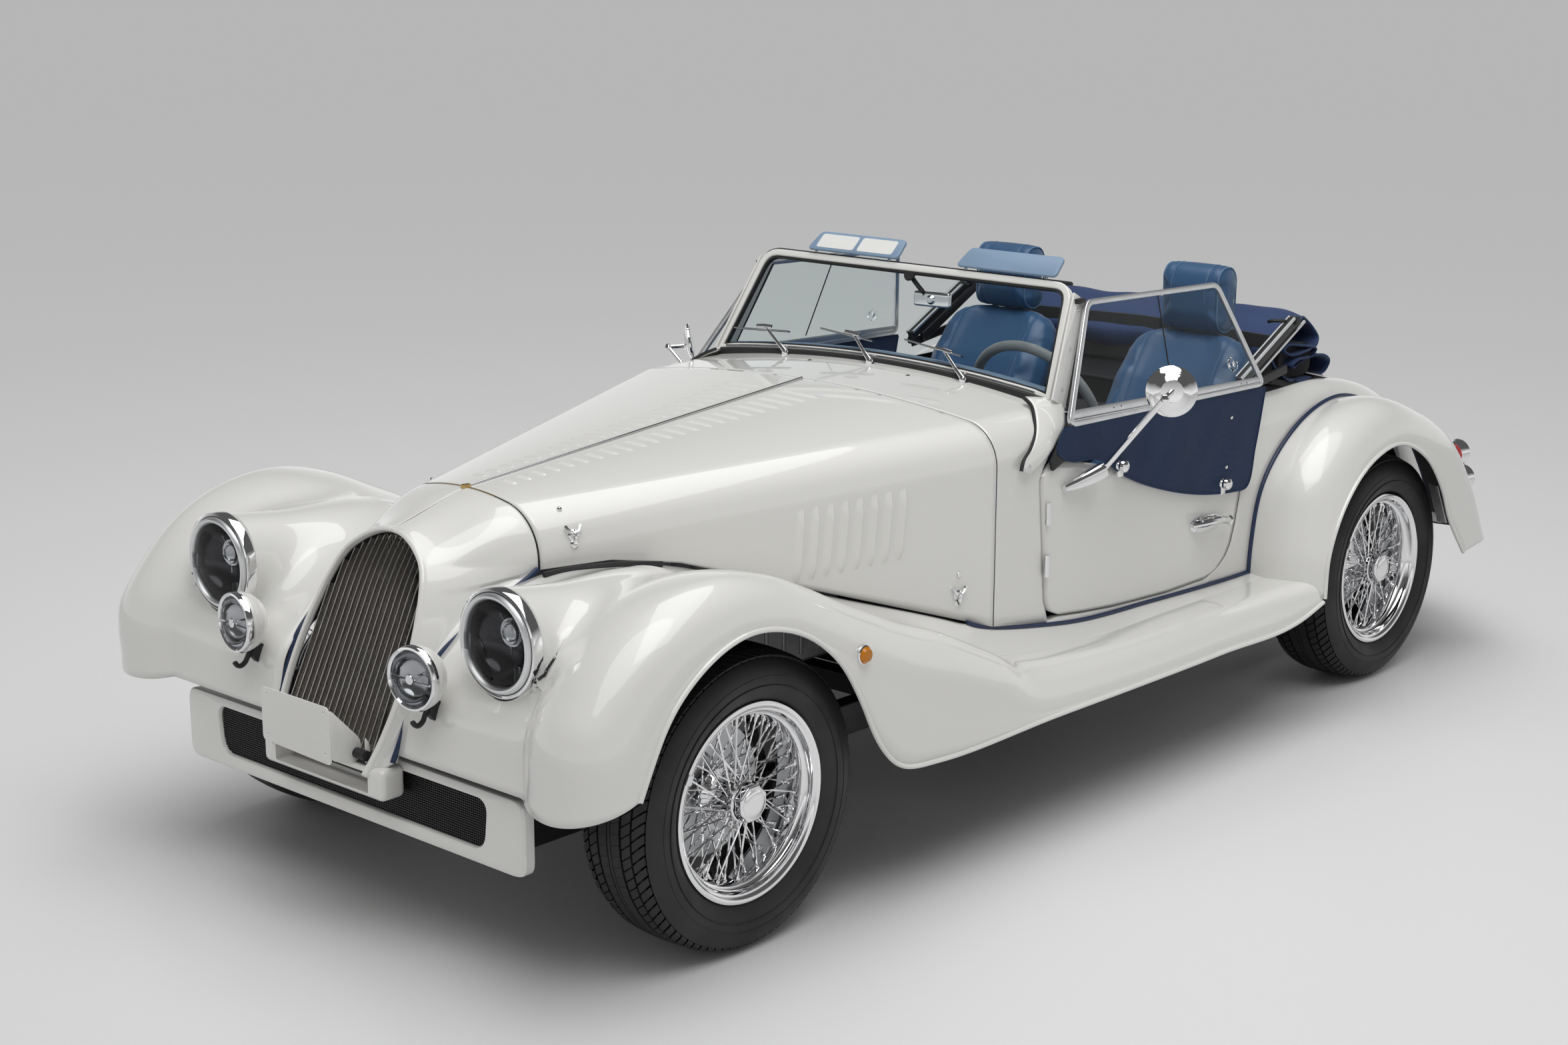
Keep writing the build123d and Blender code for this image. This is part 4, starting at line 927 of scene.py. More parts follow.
# %% Combs of low louvres on the top
# columns: y, outer end of the comb's louvre
COMB = [(-1380, 70), (-1330, 74), (-1213, 80), (-1064, 101), (-930, 107), (-785, 118), (-578, 149),
        (-520, 155)]
COMB_COUNT, COMB_IN = 23, 24
combs = []
for number in range(COMB_COUNT):
    y = mix(COMB[0][0], COMB[-1][0], number / (COMB_COUNT - 1))
    outer = between(COMB, y)
    share = (y - BONNET_FRONT[0]) / BONNET_LENGTH
    half, top, drop, shoulder = (mix(a, b, share) for a, b in zip(BONNET_FRONT[1:], BONNET_REAR[1:]))
    bend_x, lean = arch_bend(half, drop, shoulder)
    middle = (COMB_IN + outer) / 2
    turn = middle * sin(lean) / bend_x
    height = top - bend_x / sin(lean) * (1 - cos(turn))
    run, out = (0, BONNET_LENGTH, BONNET_RISE), (sin(turn), -BONNET_RISE / BONNET_LENGTH, 1)
    combs.append(louvre((middle, y, height), run, out, outer - COMB_IN, 20, 3.2))
pair("bonnet_combs", joined(*combs), pearl_paint, "bonnet_{side}", out=UP)

# %% [markdown]
# ## Nose cowl and grille
# The cowl runs from a rolled edge round the leaning grille back to the bonnet. Its front outline lies in the
# grille's plane and its rear outline follows the bonnet seam and then the piping beside the wings. Each
# line between them is a curve that leaves the grille's edge outwards and meets the bonnet in its direction.

# %% The grille's plane and outline
GRILLE_TOP, GRILLE_FOOT = Vector((0, -1655, 808)), Vector((0, -1865, 369))
GRILLE_DOWN = (GRILLE_FOOT - GRILLE_TOP).normalized()
GRILLE_OUT = Vector((0, GRILLE_DOWN.z, -GRILLE_DOWN.y))     # forwards and up, square to the plane
GRILLE_HEIGHT = (GRILLE_FOOT - GRILLE_TOP).length
# half outline of the grille: x, distance down the plane
GRILLE_HALF = [(0, 0), (33, 4), (62, 15), (92, 33), (117, 55), (133, 81), (145, 112), (160, 175), (170, 240),
               (174, 305), (171, 370), (162, 430), (147, GRILLE_HEIGHT)]
SEAM_SHARE = 0.5                   # share of the outline that faces the bonnet seam
COWL_PIPING = [(222, -1460, 720), (218, -1660, 628), (212, -1700, 600), (208, -1745, 553), (205, -1760, 522),
               (200, -1780, 484), (195, -1795, 438), (192, -1815, 392)]
ROLL_R = 8                         # the rolled edge round the grille
SEAM_ON_GRILLE = 0.33              # where the seam's foot maps to, along the grille's outline


def grille_edge(share, outset=0.0, forward=0.0):
    """A point round the grille's left edge, and the outward direction in its plane."""
    where = share / SEAM_SHARE * SEAM_ON_GRILLE
    if share > SEAM_SHARE:
        where = SEAM_ON_GRILLE + (share - SEAM_SHARE) / (1 - SEAM_SHARE) * (1 - SEAM_ON_GRILLE)
    x, s = smooth_row(GRILLE_HALF, where)
    before = smooth_row(GRILLE_HALF, max(0, where - 0.01))
    after = smooth_row(GRILLE_HALF, min(1, where + 0.01))
    run = (Vector(after) - Vector(before)).normalized()
    outward = Vector((run.y, 0, 0)) - GRILLE_DOWN * run.x
    return Vector((x, 0, 0)) + GRILLE_TOP + GRILLE_DOWN * s + outward * outset + GRILLE_OUT * forward, outward

# %% Cowl
def cowl_rear(share):
    """A point of the cowl's rear outline, and the direction in which the cowl arrives there."""
    if share <= SEAM_SHARE:
        x, z = arch_point(*BONNET_FRONT[1:], BONNET_FOOT[0][1], share / SEAM_SHARE)
        out = x / BONNET_FRONT[1]
        return Vector((x, -1457, z)), Vector((-0.3 * out, -1, -0.09 - 0.1 * (1 - out))).normalized()
    place = smooth_row(COWL_PIPING, (share - SEAM_SHARE) / (1 - SEAM_SHARE))
    return Vector(place), Vector((-0.5, -1, -0.1)).normalized()


def cowl_point(across, along):
    """along runs 0 to 0.16 over the rolled edge and from there back to the rear outline."""
    if along < 0.16:
        turn, inner_turn = pi * along / 0.16, 0.35 * pi
        centre, outward = grille_edge(across)
        tuck = 8 * max(0, 1 - turn / inner_turn)
        forward = ROLL_R * sin(turn) - 4 - tuck
        return centre - outward * (ROLL_R * cos(max(turn, inner_turn))) + GRILLE_OUT * forward
    w = (along - 0.16) / 0.84
    start, outward = grille_edge(across, ROLL_R, -4)
    end, arrive = cowl_rear(across)
    reach = (end - start).length
    leave = (outward * 0.55 - GRILLE_OUT * 0.6 + Vector((0, 0.5, 0))).normalized()
    first = start + leave * reach * 0.34
    second = end + arrive * reach * 0.36
    return start * (1 - w)**3 + first * 3 * w * (1 - w)**2 + second * 3 * w * w * (1 - w) + end * w**3

# %% Cowl skin, seam and piping
cowl = sheet(110, 60, cowl_point)
piece("front_cowl_skin", both(cowl), PAINTED, "chassis", ["front_cowl"], 50, (0, -0.4, 1), 2)
piping = [cowl_rear(mix(SEAM_SHARE, 1, i / 30))[0] + Vector((2, -3 - 9 * i / 30, 4)) for i in range(31)]
pair("cowl_piping", tube(piping, 6, detail=2), navy_piping)
seam = [cowl_rear(i / 24 * SEAM_SHARE)[0] + Vector((0, 3.5, -1)) for i in range(25)]
pair("cowl_seam_strip", tube(seam[:9], 2.2, detail=2), brass)
pair("cowl_seam_seal", tube(seam[8:], 1.8, detail=2), black_rubber)
piece("bonnet_hinge_end", block(-7, 7, -1466, -1446, 862, 872, 3), brass)

# %% [markdown]
# The grille is a row of upright bars on edge, each bent back at its top to meet the cowl, in front of a net
# of crossed wires. A bar is a rolled-up grid along its own bent path, which costs few faces for a part that
# is repeated, and the wires are straight tubes cut to the opening.

# %% Grille bars
SLATS, SLAT_PITCH, SLAT_DEPTH, SLAT_THICK = 17, 18.6, 16, 2.6
GRILLE_OUTLINE = [smooth_row(GRILLE_HALF, i / 200) for i in range(201)]
SLAT_SECTION = [(-0.35, 0), (0.35, 0), (0.5, 2), (0.5, SLAT_DEPTH), (-0.5, SLAT_DEPTH), (-0.5, 2)]


def in_grille_plane(x, down, back):
    """A point of the car from a place in the grille's plane and its depth behind it."""
    return GRILLE_TOP + GRILLE_DOWN * down - GRILLE_OUT * back + Vector((x, 0, 0))


def half_width(down):
    """Half the grille's width at a distance down its plane."""
    return max((x for x, level in GRILLE_OUTLINE if abs(level - down) < 4), default=0)


def slat(x):
    """A flat bar on edge: straight, then bending back with the cowl at its top."""
    inside = [down for edge, down in GRILLE_OUTLINE if edge >= abs(x) + 3]
    high, low = min(inside), min(max(inside), GRILLE_HEIGHT - 52)

    def place(along, around):
        down = mix(high, low, along)
        side, depth = SLAT_SECTION[round(around * 6) % 6]
        back = 14 * max(0, 1 - down / 130) ** 2 + 4
        return in_grille_plane(x * (0.93 + 0.07 * down / GRILLE_HEIGHT) + side * SLAT_THICK, down,
                               back + depth)
    return lofted(40, 6, place)


slats = joined(*[slat((i - (SLATS - 1) / 2) * SLAT_PITCH) for i in range(SLATS)])
piece("grille_slats", slats, grille_alloy, "chassis", ["grille"], sharp=25)

# %% Grille mesh
MESH_PITCH, MESH_BACK, WIRE_R = 12.0, 27, 0.9


def mesh_wires(sign):
    """One set of parallel wires, each from edge to edge of the opening."""
    wires = []
    for k in range(-16, 58):
        points = []
        for down in range(0, 520, 4):
            x = sign * (down - k * MESH_PITCH * 1.15) * 0.75
            if abs(x) < half_width(down) - 4 and down < GRILLE_HEIGHT - 40:
                points.append(in_grille_plane(x, down, MESH_BACK + sign * 0.8))
        if len(points) > 2:
            wires.append(tube([points[0], points[-1]], WIRE_R, bend=False, detail=0))
    return wires


piece("grille_mesh", joined(*mesh_wires(1), *mesh_wires(-1)), grille_alloy)
backing = sheet(48, 70, lambda u, v: in_grille_plane((u - 0.5) * 352, v * GRILLE_HEIGHT, 46))
BACKING_LAP = 6
outside = []
for face in backing.faces:
    centre = face.calc_center_median() / MM
    down = (centre - GRILLE_TOP).dot(GRILLE_DOWN)
    beside = abs(centre.x) > half_width(down) + BACKING_LAP
    if beside or not -BACKING_LAP < down < GRILLE_HEIGHT + BACKING_LAP:
        outside.append(face)
bmesh.ops.delete(backing, geom=outside, context="FACES")
piece("grille_backing", backing, black_rubber, out=FORWARD)

# %% [markdown]
# The scuttle and the rear body are arched grids too. The door's outline is their edge: a point's height says
# where the panel ends, and its end moves the height, so a few rounds of correction settle both. The arch
# over the rear wheel is cut afterwards, and the vertices near it are drawn onto the circle.

# %% Scuttle
# columns: height, y of the rear edge
SCUTTLE_REAR = [(380, -198), (430, -198), (470, -217), (770, -245), (812, -225), (925, -112), (990, -112)]


def scuttle_point(along, across):
    y = mix(-397, -112, along)
    for _ in range(4):
        share = (y + 397) / (397 - 95)
        half, top, foot = mix(590, 600, share), mix(958, 962, share), mix(452, 405, share)
        x, z = arch_point(half, top, 36, 100, foot, across)
        y = mix(-397, between(SCUTTLE_REAR, z), along)
    return x, y, z


piece("scuttle_skin", both(sheet(30, 60, scuttle_point)), PAINTED, "chassis", ["scuttle"], 50, UP, 2.5)

# %% Rear body
# columns: y, half width, top, crown drop, shoulder radius, foot
REAR_BODY = [
    (560, 600, 838, 20, 80, 372),
    (860, 600, 841, 20, 80, 350),
    (1120, 600, 842, 20, 80, 330),
    (1400, 588, 785, 24, 85, 320),
    (1650, 565, 640, 26, 90, 310),
    (1868, 525, 440, 26, 70, 300),
    (1883, 520, 384, 24, 52, 300),
    (1887, 514, 350, 20, 28, 300),
]
DECK_Y = 1190
ARCH_CENTRE, ARCH_R = (1150, 345), 372
# columns: height, y of the edge behind the door
DOOR_GAP = [(372, 474), (394, 480), (404, 488), (414, 530), (441, 569), (469, 589), (519, 607), (818, 672),
            (900, 672)]
rear_rows = [smooth_row(REAR_BODY, i / 300) for i in range(301)]

# %% Points of the rear body
def rear_row(y):
    """The rear body's section at y."""
    index = min(max(bisect([row[0] for row in rear_rows], y), 1), 300)
    before, after = rear_rows[index - 1], rear_rows[index]
    share = (y - before[0]) / (after[0] - before[0])
    return [mix(a, b, share) for a, b in zip(before, after)]


def rear_side_point(along, across):
    y = 600
    for _ in range(4):
        _, half, top, drop, shoulder, foot = rear_row(y)
        x, z = arch_point(half, top, drop, shoulder, foot, 0.5 + 0.5 * across)
        y = mix(between(DOOR_GAP, z), 1887, along)
    return x, y, z


def rear_deck_point(along, across):
    y = mix(DECK_Y, 1887, along)
    _, half, top, drop, shoulder, foot = rear_row(y)
    x, z = arch_point(half, top, drop, shoulder, foot, 0.5 * across)
    return x, y, z

# %% Rear panels
def cut_round(bm, centre, radius):
    """Opens a circle in a panel, seen from the side, and draws the edge onto the circle."""
    def away(vert):
        return hypot(vert.co.y / MM - centre[0], vert.co.z / MM - centre[1])
    inside = [f for f in bm.faces if all(away(v) < radius + 7 for v in f.verts)]
    bmesh.ops.delete(bm, geom=inside, context="FACES")
    for vert in bm.verts:
        far = away(vert)
        if vert.is_boundary and abs(far - radius) < 22 and vert.co.z > 0.31:
            vert.co.y = (centre[0] + (vert.co.y / MM - centre[0]) * radius / far) * MM
            vert.co.z = (centre[1] + (vert.co.z / MM - centre[1]) * radius / far) * MM


rear_side = sheet(110, 64, rear_side_point)
cut_round(rear_side, ARCH_CENTRE, ARCH_R)
rear_skin = joined(rear_side, sheet(60, 30, rear_deck_point))
piece("rear_body_skin", both(rear_skin), PAINTED, "chassis", ["rear_body"], 50, UP, 2.5)

# %% Wells over the rear wheels, and sills under the doors
TUB_IN, BODY_HALF = 512, 598


def tub_point(along, across):
    turn = pi * (1.06 - 1.12 * along)
    x = mix(TUB_IN, BODY_HALF, across)
    return x, ARCH_CENTRE[0] + ARCH_R * cos(turn), ARCH_CENTRE[1] + ARCH_R * sin(turn)


def tub_wall_point(along, across):
    turn = pi * (1.06 - 1.12 * along)
    radius = ARCH_R * (1 - 0.72 * across)
    return TUB_IN, ARCH_CENTRE[0] + radius * cos(turn), ARCH_CENTRE[1] + radius * sin(turn)


pair("wheel_tub", joined(sheet(40, 3, tub_point), sheet(40, 4, tub_wall_point)), chassis_black)
SILL_TOP = [(-203, 424), (-164, 428), (-60, 416), (60, 405), (150, 400), (300, 393), (468, 394), (486, 400)]
sill = plate([(577, -203, 366)] + [(577, *p) for p in SILL_TOP] + [(577, 486, 366)], (22, 0, 0), 1.5)
pair("sill", sill, pearl_paint)

# %% [markdown]
# A door has no straight edge: its front follows the scuttle, its foot the sill, its rear the wing, and its
# top dips for the elbow. Four small tables hold these edges, and one grid is stretched between them. The
# thickness then gives the door its inside, which takes the second finish, leather.

# %% Doors
DOOR_FRONT = [(400, -160), (436, -160), (444, -184), (451, -197), (466, -206), (484, -210), (760, -238),
              (782, -234), (796, -222), (806, -196)]
DOOR_REAR = [(400, 470), (402, 478), (414, 522), (442, 562), (470, 582), (520, 600), (816, 665), (830, 668)]
DOOR_TOP = [(-238, 800), (-196, 806), (-100, 792), (20, 766), (140, 748), (260, 743), (400, 755), (540, 781),
            (665, 817)]
DOOR_FOOT = [(-160, 434), (-60, 422), (60, 411), (150, 406), (300, 399), (470, 400)]


def door_point(along, across):
    y = mix(-200, 600, along)
    for _ in range(8):
        z = mix(between(DOOR_FOOT, y), between(DOOR_TOP, y), across)
        y = mix(between(DOOR_FRONT, z), between(DOOR_REAR, z), along)
    roll = max(0, 1 - (1 - across) / 0.06)
    return 600.5 - 14 * roll * roll, y, z


lined = [pearl_paint, blue_leather]
pair("door", sheet(64, 48, door_point), lined, "door_{side}", ["door_{side}"], OUTWARD, sharp=40, wall=38)

# %% [markdown]
# ## Lamps
# A headlamp is several thin turned parts: a chrome ring, a dark gasket, a broad satin bezel, a domed lens
# and a dark reflector with a projector in it. The pod's own face is opened behind the lens, so there is
# real depth to look into. The spot lamps are white bowls with a chrome rim and a cap on a bar.

# %% Headlamps
GLASS_R = 88


def headlamp_parts(x):
    """The turned parts of a headlamp at x, and the projector inside it."""
    centre = (x, LAMP[1], LAMP[2])
    ring = [(-15, 103), (-15, 109), (0, 109.5), (6, 108), (8, 104.5), (6, 101.5), (0, 101), (-15, 101)]
    gasket = [(-12, 101), (3, 102), (5, 101), (4, 99), (-12, 98)]
    bezel = [(-8, 99), (5, 100), (11, 98), (14.5, 94), (15, 90), (12, 87), (4, 85), (-8, 84)]
    lens = [(5 + 15 * (1 - (r / GLASS_R) ** 2) ** 0.8, r) for r in (88, 85, 78, 68, 56, 42, 28, 14, 0)]
    bowl = [(4, 86.5), (-8, 84), (-24, 74), (-40, 56), (-50, 36), (-54, 16), (-54, 0)]
    parts = {"ring": turned(ring, centre, FORWARD, 96, True),
             "gasket": turned(gasket, centre, FORWARD, 96, True),
             "bezel": turned(bezel, centre, FORWARD, 96, True), "lens": turned(lens, centre, FORWARD, 96),
             "bowl": turned(bowl, centre, FORWARD, 72)}
    eye = Vector((centre[0] + 16, centre[1], centre[2] + 20))
    optics = [turned([(d - 22, 0), (d - 22, r), (d, r + 1.5), (d + 3, r), (d + 2, r - 4), (d - 4, r - 6),
                      (d - 4, 0)],
                     eye, FORWARD, 40) for r, d in ((27, -30), (21, -24))]
    for turn in (20, 140, 260):
        arm = Vector((cos(radians(turn)), 0, sin(radians(turn))))
        optics.append(tube([eye + arm * 20 + Vector((0, 30, 0)), eye + arm * 44 + Vector((0, 34, 0))], 3.5,
                           bend=False))
    parts["optics"] = joined(*optics)
    parts["eye"] = turned([(-26, 15), (-18, 15), (-13, 12), (-10, 7), (-9, 0)], eye, FORWARD, 32)
    tabs = []
    for turn in (186, 322):
        where = Vector((cos(radians(turn)) * 80, 0, sin(radians(turn)) * 80))
        tab = block(-7, 7, -8, 2, -17, 17, 3, 3)
        tabs.append(moved(tab, Matrix.Translation((Vector(centre) + where + Vector((0, -6, 0))) * MM)))
    parts["tabs"] = joined(*tabs)
    return parts

# %% Both headlamps
LAMP_FINISH = {"ring": chrome, "gasket": black_rubber, "bezel": satin_alloy, "lens": lamp_glass,
               "bowl": lamp_shade, "optics": lamp_bowl, "eye": lamp_glass, "tabs": lamp_glass}
for side, sign in SIDES:
    for label, shape in headlamp_parts(LAMP[0] * sign).items():
        hides = ["headlamps"] if label == "ring" and side == "left" else ()
        piece(f"headlamp_{label}_{side}", shape, LAMP_FINISH[label], "chassis", hides)

# %% [markdown]
# A spot lamp is a small bowl on a bar. Its shell, rim, lens and reflector are four turned profiles on one
# slanting axis, so that each keeps a clean finish of its own.

# %% Spot lamps
# the left lamp is made in full, and its mirror image hangs on the right
SPOT, SPOT_AIM = Vector((289, -1845, 595)), Vector((0.1, -1, 0.02))
shell = [(2, 60), (-2, 62.5), (-14, 63), (-15, 64), (-19, 63.5), (-34, 58), (-50, 45), (-60, 28), (-64, 12),
         (-65, 0)]
rim = [(-6, 62), (-6, 66), (2, 66), (7, 63), (8, 59), (5, 56), (0, 55), (-3, 58)]
lens = [(3 + 7 * (1 - (r / 57) ** 2), r) for r in (57, 50, 40, 28, 14, 0)]
bowl = [(1, 56), (-8, 53), (-20, 44), (-30, 28), (-34, 12), (-34, 0)]
cap = [(-34, 5), (0, 6), (1, 10.5), (9, 10.5), (11, 9), (11, 0)]
pair("spot_shell", turned(shell, SPOT, SPOT_AIM, 72), pearl_paint, hides=["spot_lamps"])
pair("spot_rim", turned(rim, SPOT, SPOT_AIM, 72, True), chrome)
pair("spot_lens", turned(lens, SPOT, SPOT_AIM, 72), lamp_glass)
pair("spot_bowl", turned(bowl, SPOT, SPOT_AIM, 64), lamp_bowl)
arms = tube([SPOT + Vector(p) for p in ((-54, -2, -3), (0, -4, 0), (54, -2, -3))], 2.6, bend=False)
pair("spot_cap", joined(turned(cap, SPOT, SPOT_AIM, 32), arms), chrome)
stay = plate([SPOT + Vector((-9, y, z)) for y, z in ((40, -52), (62, -58), (46, -96), (30, -78))], (18, 0, 0),
             2)
tail = [(0, 34, -66), (1, 26, -80), (2, 20, -92), (2, 8, -98), (2, -2, -94), (2, -6, -86)]
pair("spot_stay", joined(stay, tube([SPOT + Vector(p) for p in tail], 5.5, smooth=8)), black_rubber)

# %% [markdown]
# ## Nose trim
# Under the cowl hangs a rounded chin with the number plate's carrier, a flat card with its corner screws and
# two side brackets. Below it the apron is a frame round a dark mesh of crossed wires.

# %% Plate carrier
PLATE_Y, PLATE_HALF, PLATE_LOW, PLATE_TOP = -1915, 112, 398, 512
card = rounded_path([(-PLATE_HALF, PLATE_Y, PLATE_TOP), (PLATE_HALF - 4, PLATE_Y, PLATE_TOP),
                     (PLATE_HALF, PLATE_Y, PLATE_LOW - 6), (-PLATE_HALF, PLATE_Y, PLATE_LOW)], 12, True)
piece("plate_card", plate(card, (0, 3, 0), 0.8), pearl_paint, "chassis", ["plate_carrier"])
screws = [screw((x, PLATE_Y, z), FORWARD, 3.2, 1.4)
          for x in (-94, 94) for z in (PLATE_LOW + 14, PLATE_TOP - 14)]
piece("plate_screws", joined(*screws), chrome)
gusset = rounded_path([(0, PLATE_Y + 2, PLATE_TOP - 2), (0, PLATE_Y + 2, PLATE_LOW + 4), (0, -1862, 382),
                       (0, -1836, 392), (0, -1838, 430)], 14, True)
bracket = plate([(PLATE_HALF - 6, y, z) for _, y, z in gusset], (3, 0, 0), 0.6)
rear_bracket = plate([(PLATE_HALF + 22, y, z) for _, y, z in gusset[21:35]], (3, 0, 0), 0.6)
pair("plate_bracket", joined(bracket, rear_bracket), pearl_paint)
spacer = tube([(PLATE_HALF - 8, -1850, 404), (PLATE_HALF + 30, -1850, 404)], 11, bend=False, detail=3)
pair("plate_spacer", spacer, black_rubber)
pair("plate_bolt", screw((PLATE_HALF - 6, -1850, 404), (-1, 0, 0), 8, 4), chrome)

# %% [markdown]
# The chin is a rounded block with a smaller one cut out of it. The apron is a frame between two rounded
# outlines: a hoop of a few levels gives its soft face and the step into the opening, and thin wires cross
# in front of a dark plate.

# %% Chin and apron
CHIN_HALF = 196
chin = block(-CHIN_HALF, CHIN_HALF, -1858, -1796, 318, 384, 14, 5)
chin = boolean(chin, block(-CHIN_HALF + 44, CHIN_HALF - 44, -1880, -1806, 330, 420, 4, 3), "DIFFERENCE")
piece("chin", chin, pearl_paint, sharp=35)
piece("cowl_foot", bar([(-146, -1852, 378), (146, -1852, 378)], oblong(12, 14, 5)), pearl_paint)
APRON_Y = -1800
outer = rounded_path([(-550, APRON_Y, 392), (550, APRON_Y, 392), (550, APRON_Y, 236), (-550, APRON_Y, 236)],
                     30, True)
inner = rounded_path([(-441, APRON_Y, 371), (441, APRON_Y, 371), (428, APRON_Y, 266), (-428, APRON_Y, 266)],
                     34, True)
levels = [(0, (0, 26, 0)), (0, (0, 5, 0)), (0.04, (0, 1, 0)), (0.09, (0, 0, 0)), (0.9, (0, 0, 0)),
          (0.97, (0, 2, 0)),
          (1, (0, 7, 0)), (1, (0, 26, 0))]
piece("apron_frame", hoop(outer, inner, levels), pearl_paint, "chassis", ["front_apron"], sharp=40)
wires = [block(-440, 440, APRON_Y + 9, APRON_Y + 12, z - 0.8, z + 0.8, 0.01, 1) for z in range(268, 372, 5)]
wires += [block(x - 0.8, x + 0.8, APRON_Y + 10, APRON_Y + 13, 266, 371, 0.01, 1) for x in range(-438, 440, 6)]
piece("apron_wires", joined(*wires), mesh_black, "chassis", ["apron_mesh"])
piece("apron_shadow", block(-446, 446, APRON_Y + 20, APRON_Y + 24, 260, 376, 0.5, 1), black_rubber)

# %% Repeaters, bonnet catches and bonnet seal
# small lamps on the front wings
REPEATER = (801, -1105, 585)
pair("repeater", turned([(-2, 17), (6, 17), (12, 13), (14, 6), (14, 0)], REPEATER, OUTWARD, 32), amber_lens)
ring = [(-2, 17), (-2, 20), (3, 20), (5, 18), (3, 16.5)]
pair("repeater_ring", turned(ring, REPEATER, OUTWARD, 32, True), chrome)

# bonnet catches with their studs, and the black seal under the bonnet's foot
# columns: name, base, stud, the way the panel faces
CATCHES = (("front", (242, -1376, 787), (204, -1379, 836), (0.89, -0.33, 0.3)),
           ("rear", (558, -492, 540), (558, -492, 588), (0.94, -0.33, 0)))
for label, base, stud, lean in CATCHES:
    base, lean = Vector(base), Vector(lean).normalized()
    run = lean.cross(UP).normalized()
    rise = run.cross(lean)
    horn = [base + run * a + lean * b + rise * c for a, b, c in
            ((-17, 4, 20), (-12, 9, 8), (0, 12, 2), (12, 9, 8), (17, 4, 20))]
    body = turned([(-2, 12), (2, 12), (4, 8), (12, 6), (15, 3), (15, 0)], base, lean, 24)
    hook = tube([base + lean * 10, base + lean * 9 - rise * 16, base + lean * 3 - rise * 20], 4.5)
    foot = screw(base - rise * 18, lean, 9, 3)
    pair(f"bonnet_catch_{label}", joined(tube(horn, 3.4), body, hook, foot, screw(stud, lean, 6, 5)), chrome)
seal = [(262, -1470, 724), (267, -1420, 727), (300, -1366, 729), (330, -1290, 727), (352, -1220, 716)]
pair("bonnet_seal", tube([(x - 8, y, z - 2) for x, y, z in seal], 6.5), black_rubber)

# %% [markdown]
# ## Windscreen and wipers
# The windscreen is a flat pane in a slim white frame that leans back. It is drawn in its own plane, with
# x across and h up the slope, and a small function puts such points on the car. The frame is a section
# swept round the outline, with black rubber on both sides of it, and it stands on two shaped legs.

# %% The screen's own plane
SCREEN_LOW, SCREEN_TOP = Vector((0, -126, 938)), Vector((0, 14, 1189))
SCREEN_UP = (SCREEN_TOP - SCREEN_LOW).normalized()
SCREEN_OUT = Vector((0, -SCREEN_UP.z, SCREEN_UP.y))
SCREEN_H = (SCREEN_TOP - SCREEN_LOW).length


def on_screen(x, h, proud=0.0):
    return SCREEN_LOW + Vector((x, 0, 0)) + SCREEN_UP * h + SCREEN_OUT * proud


def screen_outline(inset=0.0, proud=0.0, h_low=0.0):
    """The pane's outline as a closed path: the curved foot, then the sides and the rounded top."""
    low, top = 538 - inset, 496 - inset
    foot = [on_screen(low * s, -8 + 34 * (1 - s * s) + inset + h_low, proud)
            for s in [i / 12 - 1 for i in range(25)]]
    corner = 50 - inset * 0.7
    high = SCREEN_H - inset
    right = [on_screen(low, -6 + inset + h_low, proud), on_screen(top, high, proud),
             on_screen(-top, high, proud), on_screen(-low, -6 + inset + h_low, proud)]
    return foot + rounded_path(right, corner)[1:-1]

# %% Frame, rubber and pane
frame_bar = bar(screen_outline(9), oblong(18, 20, 3.5, 3), SCREEN_OUT, True)
piece("screen_frame", frame_bar, pearl_paint, "chassis", ["windscreen_frame"])
piece("screen_rubber", bar(screen_outline(20.5), oblong(6, 14, 2), SCREEN_OUT, True), black_rubber)
header = [on_screen(-530, 100, -6)] + [on_screen(x, SCREEN_H + h, -6) for x, h in (
    (-499, -40), (-492, -8), (-462, 3), (0, 3), (480, 3))]
piece("screen_header_seal", bar(rounded_path(header, 12), oblong(7, 12, 2), SCREEN_OUT), black_rubber)
pane = plate(screen_outline(19, -2), SCREEN_OUT * 4)
bmesh.ops.triangulate(pane, faces=pane.faces[:])
piece("screen_glass", pane, clear_glass, "chassis", ["windscreen_glass"])
foot_line = [on_screen(x, -14 + 36 * (1 - (x / 540) ** 2), 6) for x in range(-520, 521, 40)]
piece("screen_foot_seal", bar(foot_line, oblong(20, 22, 7)), black_rubber)
bead_line = [on_screen(x, 36 * (1 - (x / 540) ** 2), 14) for x in range(-505, 506, 20)]
piece("screen_foot_bead", tube(bead_line, 2.4, detail=2), polished)

# %% [markdown]
# At each side a flat post stands behind the frame's edge, with a rubber strip for the sidescreen to close
# against. It runs down into a shaped leg, a sail-like plate that is bolted to the side of the scuttle.

# %% Posts and legs
LEG_FRONT = [(500, -180, 947), (530, -190, 934), (556, -212, 914), (580, -240, 882), (600, -284, 850),
             (607, -318, 829), (608, -326, 810)]
LEG_REAR = [(546, -92, 928), (562, -106, 908), (584, -136, 884), (598, -176, 863), (605, -211, 840),
            (607, -250, 815), (607, -298, 795)]


def leg_point(along, across):
    front, rear = Vector(smooth_row(LEG_FRONT, along)), Vector(smooth_row(LEG_REAR, along))
    bulge = sin(pi * across) * 4
    return mix(front, rear, across) + Vector((bulge, 0, bulge * (1 - along)))


